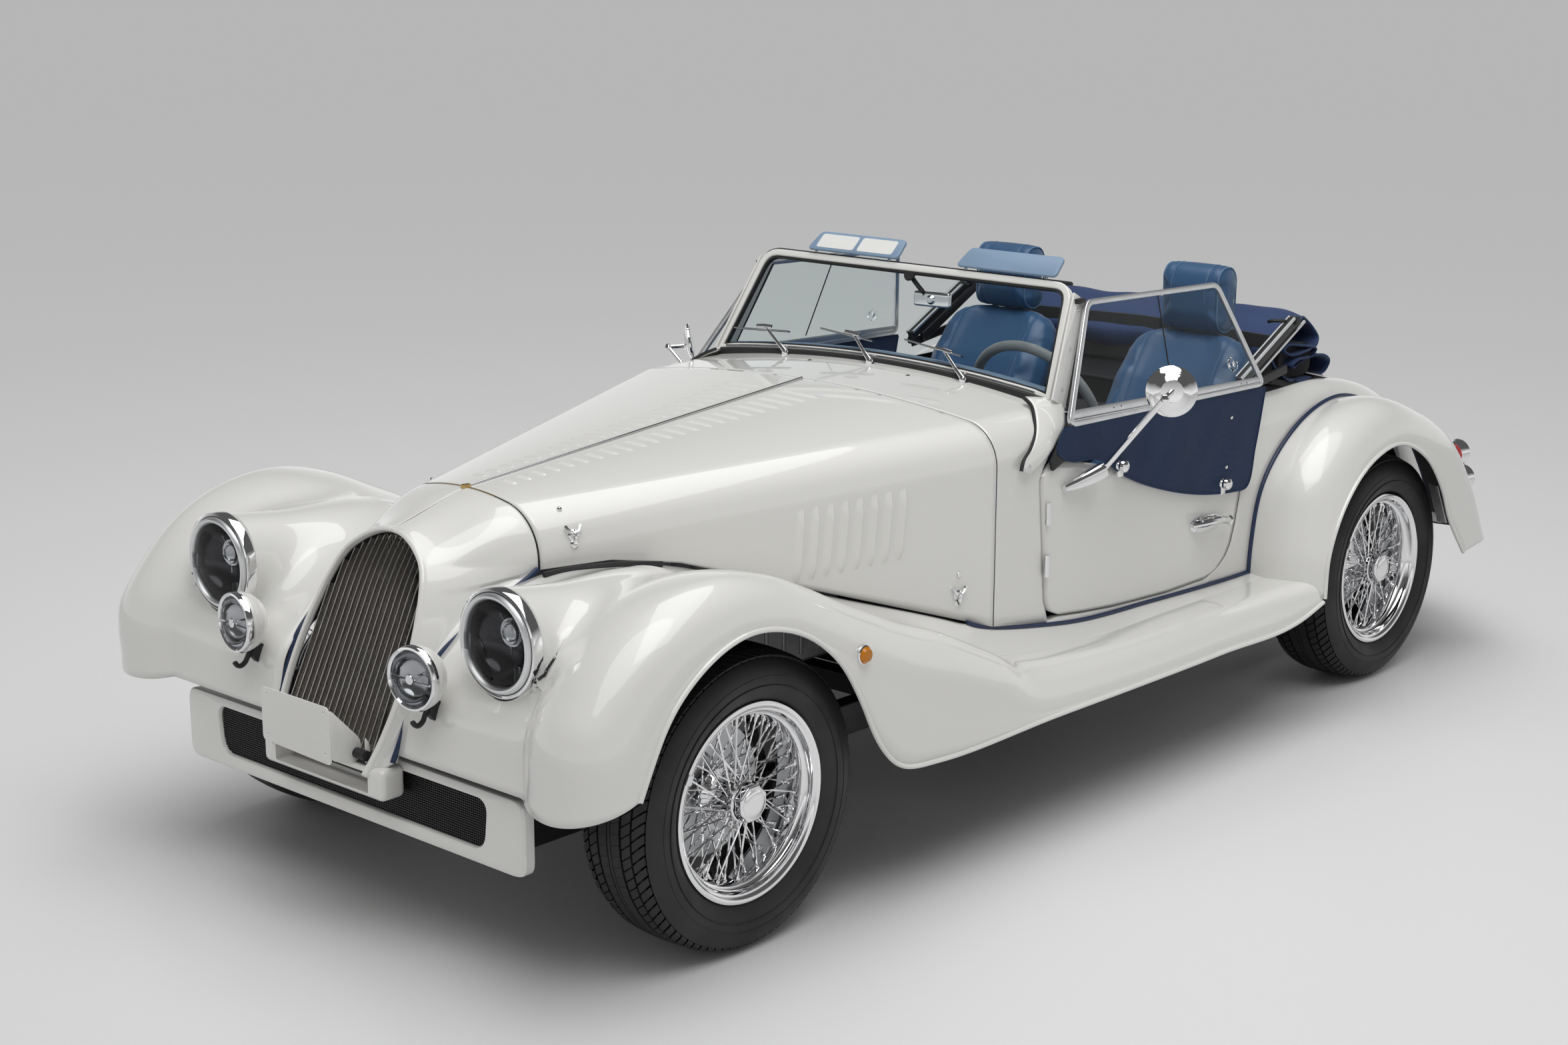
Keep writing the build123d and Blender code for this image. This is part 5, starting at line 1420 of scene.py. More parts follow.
pair("screen_leg", sheet(24, 10, leg_point), pearl_paint, out=(1, 0, 0.3), sharp=50, wall=9)
gasket = [Vector(smooth_row(LEG_FRONT, i / 20)) + Vector((-3, -3, -2)) for i in range(21)]
pair("leg_gasket", tube(gasket, 4.5), black_rubber)
pair("leg_screw", screw((611, -306, 813), OUTWARD, 7, 2.5), satin_alloy)
post_line = [on_screen(545, -4, -21), on_screen(504, 264, -17)]
pair("screen_post", bar(post_line, oblong(6, 52, 2), SCREEN_OUT, scale=lambda s: (1, 1.2 - 0.2 * s)),
     pearl_paint)
post = [on_screen(548, 6, -53), on_screen(507, 262, -46)]
pair("post_seal", bar(post, oblong(13, 9, 2), SCREEN_OUT), black_rubber)
spots = [screw(on_screen(548.5 - 41 * s, 268 * s, -18), (1, 0, 0.16), 4, 1.6) for s in (0.12, 0.5, 0.86)]
pair("post_screws", joined(*spots), chrome)
pair("post_bridge", block(494, 520, -8, 26, 1146, 1158, 3), black_rubber)

# %% [markdown]
# Three short wipers rest on the foot of the screen. Each is a turned pivot, an arm of two bars whose section
# narrows towards the blade, and a blade with a rubber strip, all swept along straight paths.

# %% Wipers
# columns: pivot, arm's end on the screen, blade's two ends
WIPERS = [
    ((-288, -143, 944), (-397, -97, 1002), (-500, -104, 989), (-315, -99, 999)),
    ((0, -150, 956), (-101, -90, 1015), (-212, -89, 1017), (-34, -96, 1004)),
    ((288, -143, 944), (194, -95, 1007), (64, -88, 1019), (249, -98, 1000)),
]
PIVOT = [(-14, 0), (-14, 15), (2, 15), (4, 13), (5, 10), (14, 9), (18, 6), (18, 0)]
wiper_metal, wiper_rubber = [], []
for row in WIPERS:
    pivot, tip, end, start = (Vector(p) for p in row)
    proud, run = SCREEN_OUT * 7, (end - start).normalized()
    knuckle = pivot + Vector((0, 0, 12))
    elbow = mix(knuckle, tip, 0.32) + proud
    wiper_metal += [
        turned(PIVOT, pivot, (0, -0.25, 1), 24),
        bar([knuckle, mix(knuckle, elbow, 0.5) + Vector((0, -3, 4)), elbow], oblong(14, 10, 3.5), SCREEN_OUT,
            scale=lambda s: (1 - 0.35 * s, 1)),
        bar([elbow, tip + proud], oblong(8, 5, 2), SCREEN_OUT),
        bar([start + proud, end + proud], oblong(9, 6, 2), SCREEN_OUT,
            scale=lambda s: (0.45 + 0.55 * sin(pi * s), 0.6 + 0.6 * sin(pi * s))),
        bar([tip - run * 26 + proud * 1.5, tip + proud * 2.1, tip + run * 26 + proud * 1.5],
            oblong(9, 4, 1.5), SCREEN_OUT)]
    strip = [start - run * 3 + SCREEN_OUT * 3, end + run * 3 + SCREEN_OUT * 3]
    wiper_rubber.append(bar(strip, oblong(3, 5, 1), SCREEN_OUT))
piece("wiper_arms", joined(*wiper_metal), chrome, "chassis", ["wipers"])
piece("wiper_blades", joined(*wiper_rubber), black_rubber)
jets = [turned([(-4, 0), (-4, 8), (3, 8), (7, 5), (8, 0)], (x, -196, 951), (0, -0.1, 1), 20)
        for x in (-159, 159)]
piece("washer_jets", joined(*jets), black_rubber)

# %% Inside mirror
# it hangs on a round pad that is stuck to the pane
pad = turned([(-9, 0), (-9, 15), (-4, 17), (0, 15), (0, 0)], on_screen(0, 262, -3), -SCREEN_OUT, 28)
stem = tube([on_screen(0, 260, -8), on_screen(14, 246, -18), on_screen(46, 224, -26)], 6)
piece("inside_mirror_pad", joined(pad, stem), black_rubber)
head = block(-53, 53, -8, 8, -19, 19, 7.5, 5)
boss = turned([(-4, 0), (-4, 13), (3, 12), (8, 7), (8, 0)], (0, -7, 0), (0, -1, 0), 24)
inside = moved(joined(head, boss),
               Matrix.Translation(on_screen(64, 218, -38) * MM) @ Matrix.Rotation(0.15, 4, "Z"))
piece("inside_mirror", inside, chrome)

# %% Sun visors
# columns: x from, x to
VISOR_OUT, VISOR_LIFT = Vector((0, -41, 46)).normalized(), Vector((0, 6, 1199))
for name, low_x, high_x in (("right", -346, -42), ("left", 143, 446)):
    card = rounded_path([(low_x, 0, 0), (high_x, 0, 0), (high_x - 6, 46, 41), (low_x + 14, 46, 41)], 14, True)
    visor = plate([p + VISOR_LIFT for p in card], VISOR_OUT * 8, 2.5)
    piece(f"visor_{name}", visor, pale_blue_trim, "chassis", ["sun_visors"] if name == "right" else ())
    stays = [tube([(x, 4, 1196), (x, 10, 1206)], 4, bend=False) for x in (low_x + 30, high_x - 30)]
    piece(f"visor_stays_{name}", joined(*stays), chrome)
# two plain cards on the right visor
for x0, x1 in ((-320, -196), (-184, -68)):
    card = rounded_path([(x0, 6, 5), (x1, 6, 5), (x1, 39, 35), (x0, 39, 35)], 8, True)
    piece(f"visor_panel_m{-x1}", plate([p + VISOR_LIFT + VISOR_OUT * 8 for p in card], VISOR_OUT * 0.8),
          card_white)

# %% [markdown]
# ## Sidescreens, mirrors and door furniture
# A sidescreen is an aluminium frame round a sliding pane, with a skirt of canvas that covers its stays and
# is held by two chrome ball nuts. The skirt is cloth stretched on that frame, cut from a flat sheet.

# %% Sidescreens
SCREEN_X, SCREEN_FOOT, LEAN = 610, 880, radians(18.5)
LEAN_OUT = Vector((cos(LEAN), 0, sin(LEAN)))
POST = [(-149, 889), (27, 1147), (583, 1133), (686, 876)]


def leaned(y, z, proud=0.0):
    """A point of the leaning sidescreen, proud of its middle plane."""
    return Vector((SCREEN_X - (z - SCREEN_FOOT) * tan(LEAN), y, z)) + LEAN_OUT * proud

# %% Where the mirrors and skirts are
# the outer end of the arm, the middle of the head, and the way its back faces, each as if on the left
MIRRORS = {
    "left": (Vector((770, -5, 952)), Vector((768, 26, 965)), Vector((0.60, -0.78, 0.17)).normalized()),
    "right": (Vector((800, -57, 899)), Vector((758, -14, 905)), Vector((0.72, -0.67, -0.18)).normalized()),
}
SKIRT_FOOT = [(-176, 886), (-202, 832), (-172, 812), (-33, 791), (81, 731), (257, 668), (471, 622),
              (575, 612), (628, 612), (664, 716), (700, 862)]
SKIRT_TOP = [(-170, 889), (-120, 888), (0, 886), (120, 882), (240, 879), (360, 876), (480, 873), (560, 871),
             (610, 870), (660, 869), (702, 866)]


def skirt_point(along, across):
    foot, top = smooth_row(SKIRT_FOOT, along), smooth_row(SKIRT_TOP, along)
    y, z = mix(top[0], foot[0], across), mix(top[1], foot[1], across)
    hang = sin(pi * across) * sin(pi * along)
    ripple = 1.6 * sin(y / 47 + z / 90) + 1.1 * sin(y / 23 - z / 31)
    return SCREEN_X + 3 + 3 * hang + ripple * hang, y, z

# %% Frame, pane and knob
DOOR = "door_{side}"
outline = rounded_path([leaned(y, z) for y, z in POST], 22, True)
rail = bar(outline, oblong(14, 12, 3, 3), LEAN_OUT, True)
lower = bar([leaned(-137, 909), leaned(672, 885)], oblong(20, 9, 2, 2), LEAN_OUT)
rib = bar([leaned(-145, 897, 5), leaned(678, 876, 5)], oblong(3, 4, 1), LEAN_OUT)
pair("sidescreen_frame", joined(rail, lower, rib), satin_alloy, DOOR, ["sidescreen_{side}"])
pane = plate(rounded_path([leaned(y, z, -1.5) for y, z in POST], 22, True), LEAN_OUT * 3)
pair("sidescreen_pane", pane, clear_glass, DOOR, ["sidescreen_glass_{side}"])
meeting = bar([leaned(316, 1134, 3), leaned(284, 912, 3)], oblong(3, 2.5, 0.5), LEAN_OUT)
dots = [screw(leaned(y, 909 - 0.03 * (y + 137), 4), LEAN_OUT, 2.5, 1) for y in (30, 60, 585, 610)]
pair("sidescreen_meeting", joined(meeting, *dots), black_rubber, DOOR)
knob = turned([(0, 6), (0, 17), (3, 19), (8, 17), (8, 8), (6, 6)], leaned(564, 938, 2), LEAN_OUT, 32, True)
pair("sidescreen_knob", knob, lamp_glass, DOOR)

# %% Skirts and their nuts
skirts = pair("sidescreen_skirt", sheet(70, 24, skirt_point), screen_canvas, DOOR, out=OUTWARD)
pair("skirt_hem", tube([skirt_point(i / 60, 1) for i in range(61)], 2.6), screen_canvas, DOOR)
NUT = [(-6, 0), (-6, 11), (0, 12), (3, 8), (8, 14), (14, 16), (21, 14), (26, 8), (28, 0)]
nuts = [turned(NUT, (SCREEN_X + 4, y, z), OUTWARD, 28) for y, z in ((48, 763), (512, 643))]
nuts += [screw((SCREEN_X + 6, y, z), OUTWARD, 5, 3) for y, z in ((538, 809), (524, 683))]
nuts += [block(SCREEN_X - 2, SCREEN_X + 7, y - 9, y + 12, z - 30, z + 4, 3, 2)
         for y, z in ((54, 763), (514, 643))]
pair("sidescreen_nuts", joined(*nuts), chrome, DOOR)
wedge = plate([(603, -214, 790), (603, -222, 812), (603, -176, 872), (603, -164, 866), (603, -170, 806)],
              (9, 0, 0), 2)
pair("door_wedge", wedge, black_rubber, DOOR)

# %% [markdown]
# The door mirrors are the brightest things on the car, so their curves matter. The foot swells like a horn,
# which is one bar with a scale that rises and falls; the head is a turned disc whose domed back faces the
# front. The two heads are set at different angles, so each side is made for itself.

# %% Door mirrors
# a horn-shaped foot, a round arm, and a disc with a domed back
DISC = [(-8, 0), (-8, 57), (-6, 60), (-1, 60), (4, 55), (9, 44), (13, 28), (14, 27), (15, 26), (16, 14),
        (16, 0)]
HORN = [(610, -166, 741), (614, -130, 746), (622, -92, 755), (631, -60, 765), (636, -46, 771)]
for side, sign in SIDES:
    arm_end, hub, back = MIRRORS[side]
    foot = bar(HORN, oblong(36, 30, 14, 5), OUTWARD,
               scale=lambda s: (0.3 + 0.85 * sin(1.9 * s + 0.15), 0.35 + 0.75 * sin(1.9 * s + 0.15)))
    arm = tube([(634, -50, 769), arm_end], 7.5, bend=False, detail=4)
    ball = turned([(-11, 0), (-9, 7), (0, 11), (9, 7), (11, 0)], arm_end, UP, 20)
    neck = tube([arm_end, hub + back * 24, hub + back * 14], 6, detail=3)
    for label, shape, nodes in (("arm", joined(foot, arm, ball, neck), [f"mirror_{side}"]),
                                ("head", turned(DISC, hub, back, 72), ())):
        piece(f"mirror_{label}_{side}", shape if sign > 0 else mirrored(shape), chrome, f"door_{side}", nodes)

# %% Hinges and handles
hinges = []
for z in (565, 690):
    hinges += [turned([(-26, 0), (-26, 6.5), (26, 6.5), (26, 0)], (607, -222, z), UP, 20),
               block(600, 603.5, -218, -204, z - 25, z + 25, 1, 2)]
pair("door_hinges", joined(*hinges), chrome, DOOR)
rose = bar([(602, y, 548 - (y - 388) * 0.02) for y in range(388, 525, 17)], oblong(44, 6, 2.5), OUTWARD,
           scale=lambda s: (0.4 + 0.6 * sin(pi * s) ** 0.5, 1))
lever = [(606, 400, 552), (624, 412, 556), (636, 440, 560), (634, 478, 557), (629, 512, 549), (626, 534, 545)]
lever_end = turned([(-11, 0), (-8, 9), (0, 12.5), (8, 9), (11, 0)], (626, 534, 545), (0, 1, -0.2), 24)
boss = turned([(0, 0), (0, 17), (16, 14), (22, 8), (24, 0)], (602, 440, 554), OUTWARD, 28)
pair("door_handle", joined(rose, tube(lever, 9.5, detail=3), boss, lever_end), chrome, DOOR)

# %% [markdown]
# ## Wire wheels and tyres
# A wheel is built once about its own axle and copied to the four corners. The rim and hub are turned
# profiles. The 72 wires lean from the hub to the rim in two crossed sets, each ending in a nipple, and an
# eight-sided nut locks the wheel. The tyre is a turned sidewall with a belt of tread blocks: one slice of
# tread is shaped and repeated all the way round.

# %% Tyre sizes
AXLE_Z, WHEEL_X = 312, 630
FRONT_AXLE_Y, REAR_AXLE_Y = -1345, 1175
# half profile from the bead to the tread's edge: across, radius
SIDEWALL = [(68, 193), (74, 196), (79, 203), (80, 208), (83, 210), (88, 216), (95, 227), (100, 240),
            (102.5, 252), (102, 264), (99, 276), (94, 286), (90, 292), (86.5, 296)]
PITCHES = 84
# columns: near edge, far edge, radius of the groove at the far edge, share of the pitch filled, slant
RIBS = [(6, 28, 297, 0.97, 0.10), (34, 56, 297, 0.86, 0.22), (61, 84, 290, 0.78, 0.30)]


def tread_r(x):
    return 312 - 4 * (x / 66) ** 2 if x < 66 else 308 - 5 * ((x - 66) / 14) ** 1.5


def about_axle(profile, steps, closed=True):
    """A turned part of the wheel, about the axle."""
    return turned(profile, (0, 0, 0), OUTWARD, steps, closed)

# %% Tread blocks
def tread():
    """One pitch of blocks is shaped from cubes without a floor, then spun round the belt as copies."""
    bm = bmesh.new()
    step = 2 * pi / PITCHES
    for side in (1, -1):
        for near, far, groove, fill, slant in RIBS:
            lug = bmesh.ops.create_cube(bm, size=2)["verts"]
            floors = {f for v in lug for f in v.link_faces if all(w.co.z < 0 for w in f.verts)}
            bmesh.ops.delete(bm, geom=list(floors), context="FACES_ONLY")
            for vert in lug:
                across, edge, top = (c > 0 for c in vert.co)
                turn = step * (edge * fill + 3 * slant * side * across)
                radius = tread_r(far if across else near) if top else groove if across else 297
                vert.co = at(side * (far if across else near), radius * sin(turn), radius * cos(turn))
    bmesh.ops.spin(bm, geom=bm.verts[:] + bm.edges[:] + bm.faces[:], axis=(-1, 0, 0), cent=(0, 0, 0),
                   angle=2 * pi - step, steps=PITCHES - 1, use_duplicate=True)
    return bm

# %% The whole tyre
def tyre():
    """Sidewalls, tread, beads and the two thin rings on each sidewall."""
    ring = [(-a, r) for a, r in reversed(SIDEWALL)] + [(-70, 299), (70, 299)] + SIDEWALL
    parts = [about_axle(ring, 96, False), tread(),
             about_axle([(-4, 300), (-3.6, 311.6), (3.6, 311.6), (4, 300)], 96)]
    for s in (1, -1):
        parts.append(about_axle([(79 * s, 206), (82 * s, 208.5), (83.5 * s, 206.5), (81 * s, 204)], 72))
        for r in (243, 262):
            rib = [(s * 100.5, r - 1.2), (s * 103, r - 0.8), (s * 103, r + 0.8), (s * 100.5, r + 1.2)]
            parts.append(about_axle(rib, 72))
    return joined(*parts)

# %% [markdown]
# A wire wheel is strong because its wires cross: neighbours lean opposite ways round the hub. So the wires
# come in two sets, and each odd one leans forwards where the even one leans back.

# %% Wheel
RIM = [(-86, 207), (-84, 208.5), (-80, 207), (-79, 196), (-60, 190), (-34, 178), (30, 178), (52, 186),
       (66, 191), (79, 193), (80.5, 206), (84, 208.5), (87, 208), (88.5, 205), (88, 200), (85, 196),
       (82, 193.5), (81, 189), (76, 187), (68, 185.5), (64, 182), (62, 177), (57, 174.5), (44, 172),
       (30, 170), (20, 169), (-30, 169), (-60, 181), (-84, 190), (-86, 194)]
HUB = [(-50, 17), (-50, 60), (-44, 60), (-40, 40), (-16, 38), (-14, 50), (-6, 51), (0, 45), (10, 36),
       (46, 30), (52, 36), (60, 38), (66, 35), (70, 31), (70, 0)]
# columns: hub along, hub radius, rim along, rim radius, count, lean in degrees, first angle
WIRES = [(58, 36, 40, 171, 36, 33, 0), (-8, 48, 22, 170, 36, 50, 5)]
WIRE_THICK = 2.1


def wheel():
    """Rim, hub and the crossed wires with their nipples."""
    parts = [about_axle(RIM, 96), about_axle(HUB, 48, False)]
    for hub_x, hub_r, rim_x, rim_r, count, lean, first in WIRES:
        for index in range(count):
            turn = radians(first + 360 * index / count)
            root = turn + radians(lean if index % 2 else -lean)
            start = Vector((hub_x, hub_r * cos(root), hub_r * sin(root)))
            end = Vector((rim_x + (6 if index % 2 else -2), rim_r * cos(turn), rim_r * sin(turn)))
            run = (end - start).normalized()
            parts.append(tube([start, end], WIRE_THICK, bend=False))
            parts.append(turned([(-15, 0), (-15, 2.6), (-4, 3.4), (-3, 5.4), (3, 5.6), (5, 0)], end, run, 8))
    return joined(*parts)

# %% Lock nut and brake disc
def lock_nut():
    """The eight-sided nut with its domed cap."""
    nut = bmesh.new()
    bmesh.ops.create_cone(nut, cap_ends=True, segments=8, radius1=0.040, radius2=0.040, depth=0.024)
    rounded(nut, 4, 3)
    bmesh.ops.rotate(nut, matrix=Matrix.Rotation(radians(22.5), 3, "Z"), verts=nut.verts[:])
    moved(nut, Matrix.Rotation(pi / 2, 4, "Y"))
    moved(nut, Matrix.Translation((0.081, 0, 0)))
    dome = about_axle([(92, 31), (94, 31), (94.5, 29), (96, 27), (97, 16), (97.5, 0)], 48, False)
    return joined(nut, dome, about_axle([(64, 36), (64, 43), (70, 43.5), (72, 40)], 48))


DISC_PROFILE = [(-44, 48), (-44, 139), (-41, 139), (-41, 130), (-36, 130), (-36, 139), (-33, 139), (-33, 80),
                (-30, 74), (-30, 48)]
WEIGHT = (86, 198, 62)         # balance clip: along, radius, angle in degrees
clip = block(WEIGHT[0] - 3, WEIGHT[0] + 5, -11, 11, WEIGHT[1] - 4, WEIGHT[1] + 12, 2, 2)
moved(clip, Matrix.Rotation(radians(WEIGHT[2]), 4, "X"))

# %% The four corners
# columns: name before and after the corner, shape, finish, node it stands for, angle of sharp edges
WHEEL_PARTS = (("tyre", "_finish", tyre(), tyre_rubber, "tyre", 38),
               ("wheel", "_finish", wheel(), chrome, "wire_wheel", 38),
               ("lock_nut", "", lock_nut(), chrome, None, 32),
               ("brake_disc", "", about_axle(DISC_PROFILE, 72), satin_alloy, None, 32),
               ("balance_clip", "", clip, satin_alloy, None, 32))
for label, ending, shape, metal, node_name, sharp in WHEEL_PARTS:
    for end, axle_y in (("front", FRONT_AXLE_Y), ("rear", REAR_AXLE_Y)):
        for side, sign in SIDES:
            copy = shape.copy() if sign > 0 else mirrored(shape)
            moved(copy, Matrix.Translation(at(WHEEL_X * sign, axle_y, AXLE_Z)))
            hides = [f"{node_name}_{end}_{side}"] if node_name else ()
            piece(f"{label}_{end}_{side}{ending}", copy, metal, f"wheel_{end}_{side}", hides, sharp)
    shape.free()
for name in ("knuckle_left", "knuckle_right"):
    softened(name, cast_metal, 1.5)

# %% [markdown]
# ## Cabin
# The seats are soft: each pad is drawn as a closed shape, remeshed into an even grid and blown up a little
# as cloth, the way foam pushes a cover out. Its seams are drawn in afterwards as grooves with a thread in
# them. Only the left seat is made this way, and the right one is its mirror image.

# %% Cushions
SWELL_FRAMES, SWELL_PRESSURE = 20, 4.0


def baked(made):
    """Applies an object's modifiers to its mesh."""
    shape = made.evaluated_get(bpy.context.evaluated_depsgraph_get())
    mesh = bpy.data.meshes.new_from_object(shape)
    made.modifiers.clear()
    old, made.data = made.data, mesh
    bpy.data.meshes.remove(old)


def swollen(bm, voxel, cap):
    """A closed bmesh as a stuffed cushion: an even grid, swollen as cloth, then smoothed."""
    pad = in_scene(bm, "pad")
    grid = pad.modifiers.new("grid", "REMESH")
    grid.mode, grid.voxel_size = "VOXEL", voxel * MM
    baked(pad)
    start = [v.co.copy() for v in pad.data.vertices]
    cloth = pad.modifiers.new("swell", "CLOTH")
    cloth.settings.use_pressure = True
    cloth.settings.uniform_pressure_force = SWELL_PRESSURE
    cloth.settings.effector_weights.gravity = 0
    cloth.point_cache.frame_end = SWELL_FRAMES
    for frame_number in range(1, SWELL_FRAMES + 1):
        bpy.context.scene.frame_set(frame_number)
    baked(pad)
    bpy.context.scene.frame_set(1)
    for vert, before in zip(pad.data.vertices, start):
        move = vert.co - before
        if move.length > cap * MM:
            vert.co = before + move.normalized() * cap * MM
    shape = bmesh.new()
    shape.from_mesh(pad.data)
    bpy.data.objects.remove(pad)
    eased(shape, shape.verts[:], 3)
    return shape

# %% Grooves and threads
def grooved(bm, lines, width=5.0, depth=3.0):
    """Presses seams into a shape; each line is a function that gives a point's distance from the seam."""
    bm.normal_update()
    for vert in bm.verts:
        place = vert.co / MM
        press = sum(exp(-(line(place) / width)**2) for line in lines)
        vert.co -= vert.normal * min(press, 1) * depth * MM
    return bm


def drawn_on(bm, points, lift=0.6):
    """Points moved onto the nearest place of a shape."""
    tree = BVHTree.FromBMesh(bm)
    placed_points = []
    for p in points:
        near, normal, _, _ = tree.find_nearest(Vector(p) * MM)
        placed_points.append(near / MM + normal * lift)
    return placed_points

# %% Seats
SEAT_X = 315
# columns: y, z, half width, half depth along the back, from its foot to its top
BACK_ROWS = [(560, 400, 196, 62), (600, 500, 204, 62), (650, 620, 208, 60), (700, 720, 208, 56),
             (752, 820, 203, 52), (802, 890, 192, 50), (824, 925, 176, 46), (834, 948, 150, 38),
             (838, 962, 110, 24), (840, 968, 60, 10)]
# outline of the back's section: across and forwards, as shares of the half width and half depth
BACK_SECTION = [(0, 0.66), (0.34, 0.66), (0.5, 0.72), (0.66, 0.98), (0.8, 1.0), (0.93, 0.72), (1, 0.1),
                (0.96, -0.6), (0.8, -0.92), (0.4, -1), (0, -1)]
CUSHION_ROWS = [(60, 385, 176, 26), (66, 385, 190, 44), (90, 382, 200, 52), (160, 378, 204, 56),
                (320, 366, 206, 60), (480, 356, 204, 60), (600, 350, 196, 56), (640, 350, 180, 40)]


def around(section):
    """A half section with its mirror image, as one ring."""
    return section + [(-a, b) for a, b in reversed(section[1:-1])]

# %% Seat pads
def stuffed_bar(rows, section, up):
    """A closed shape through rows of (y, z, half width, half depth) round the seat's middle line."""
    points = [(SEAT_X, y, z) for y, z, _, _ in rows]
    factors = [(half, depth) for _, _, half, depth in rows]
    return outwards(bar(points, around(section), up, scale=lambda s: factors[round(s * (len(rows) - 1))]))


seat_back = swollen(stuffed_bar(BACK_ROWS, BACK_SECTION, (0, -1, 0)), 6.6, 8)
seat_cushion = swollen(stuffed_bar(CUSHION_ROWS, BACK_SECTION, UP), 6.6, 8)

# %% Headrest
HEAD_MIDDLE, HEAD_HALF = Vector((SEAT_X, 834, 1054)), 90
head_outline = oblong(98, 186, 46, 8)
head_path = [HEAD_MIDDLE + Vector((x, 0, 0)) for x in (-90, -85, -76, -30, 30, 76, 85, 90)]
head_scale = [0.86, 0.95, 0.985, 1, 1, 0.985, 0.95, 0.86]
headrest = bar(head_path, head_outline, scale=lambda s: (head_scale[round(s * 7)],) * 2)
headrest = swollen(outwards(headrest), 5, 7)

# %% Seams and threads
def seam_line(offset, low, high):
    return lambda p: abs(abs(p.x - SEAT_X) - offset) if low < p.z < high else 99


grooved(seat_back, [seam_line(122, 430, 990),
                    lambda p: abs(p.z - 560 - 0.3 * abs(p.x - SEAT_X)) if p.y < 700 else 99], 5, 3)
grooved(seat_cushion, [lambda p: abs(abs(p.x - SEAT_X) - 118) if p.z > 385 else 99,
                       lambda p: abs(p.y - 190) if p.z > 385 and abs(p.x - SEAT_X) < 118 else 99], 5, 3)
grooved(headrest, [seam_line(58, 900, 1200)], 4, 2.4)
back_seams = [drawn_on(seat_back,
                       [(SEAT_X + s * 122, mix(520, 770, i / 24), mix(450, 930, i / 24)) for i in range(25)])
              for s in (-1, 1)]
head_seams = [drawn_on(headrest,
                       [(SEAT_X + s * 58, 832 - 70 * cos(pi * i / 24), 1045 + 110 * sin(pi * i / 24))
                                  for i in range(25)]) for s in (-1, 1)]
head_rings = [drawn_on(headrest, [HEAD_MIDDLE + Vector((s * (HEAD_HALF - 3), a * 0.93, b * 0.95))
                                  for a, b in head_outline], 1) for s in (-1, 1)]
threads = joined(*[tube(line, 1.1) for line in back_seams + head_seams],
                 *[tube(ring, 2.6, closed=True) for ring in head_rings])
posts = joined(*[tube([(SEAT_X + s * 45, 834, 950), (SEAT_X + s * 45, 833, 985)], 6, bend=False)
                 for s in (-1, 1)])
plinth_box = block(SEAT_X - 170, SEAT_X + 170, 90, 600, 281, 322, 6)
for name, shape, cover, hides in (
        ("seat_back", seat_back, blue_leather, ["seat_{side}"]),
        ("seat_cushion", seat_cushion, blue_leather, ()),
        ("headrest", headrest, blue_leather, ()), ("seat_threads", threads, stitch_thread, ()),
        ("headrest_posts", posts, chrome, ()), ("seat_plinth", plinth_box, black_vinyl, ())):
    for made in pair(name, shape, cover, hides=hides, sharp=60):
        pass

# %% [markdown]
# The dashboard is a padded roll over a flat panel. The roll is a section bent along the scuttle's curve, and
# the dials are turned rims over dark faces with white marks that are real geometry, so they stay sharp.

# %% Dashboard
# a padded roll along the scuttle's rear edge, over a flat panel with plain round dials
DASH_HALF = 533
dash_roll = [(-126, 884), (-128, 900), (-118, 905), (-96, 902), (-74, 894), (-62, 884), (-62, 872),
             (-72, 867), (-100, 872)]


def dash_point(u, v):
    x = mix(-DASH_HALF, DASH_HALF, u)
    ring = dash_roll + dash_roll[:1]
    place = min(v * (len(ring) - 1), len(ring) - 1.001)
    i, t = int(place), place - int(place)
    y, z = mix(ring[i][0], ring[i + 1][0], t), mix(ring[i][1], ring[i + 1][1], t)
    rise = 46 + 34 * (1 - (x / DASH_HALF)**2)
    return x, y + 0.3 * rise, z + rise


piece("dash_roll", sheet(60, 36, dash_point), pale_blue_trim, "chassis", ["dashboard"])
piece("dash_panel", block(-DASH_HALF + 5, DASH_HALF - 5, -76, -62, 702, 868, 5, 3), pale_blue_trim)

# %% Dials and switches
rims, dial_faces, hands = [], [], []
# columns: x, z, radius of each dial
for x, z, radius in ((-60, 800, 36), (30, 800, 36), (-15, 738, 26), (245, 800, 48), (365, 800, 48)):
    rim = [(0, radius), (0, radius + 5), (5, radius + 4), (7, radius), (4, radius - 2)]
    rims.append(turned(rim, (x, -62, z), REARWARD, 40, True))
    dial_faces.append(turned([(0, radius - 1), (3, radius - 1), (3, 0)], (x, -62, z), REARWARD, 40))
    hands.append(bar([(x, -58, z), (x - radius * 0.5, -58, z + radius * 0.5)], oblong(2, 1.2, 0.4), REARWARD))
    for i in range(9):
        turn = radians(-40 + 32.5 * i)
        way, middle = Vector((-cos(turn), 0, sin(turn))) * radius, Vector((x, -58.6, z))
        hands.append(bar([middle + way * 0.72, middle + way * 0.88], oblong(1.6, 0.8, 0.3), REARWARD))
piece("dial_rims", joined(*rims), chrome)
piece("dial_faces", joined(*dial_faces), black_vinyl)
piece("dial_hands", joined(*hands), card_white)
switches = [turned([(0, 9), (8, 9), (12, 6), (12, 0)], (x, -62, 716), REARWARD, 20)
            for x in (70, 105, 140, -105, -140)]
piece("dash_switches", joined(*switches), chrome)

# %% [markdown]
# The steering wheel is built in its own leaning plane: a rim spun about the column's axis, three flat spokes
# and a padded boss. It rides on its own body, and the shroud and stalks behind it stay with the car.

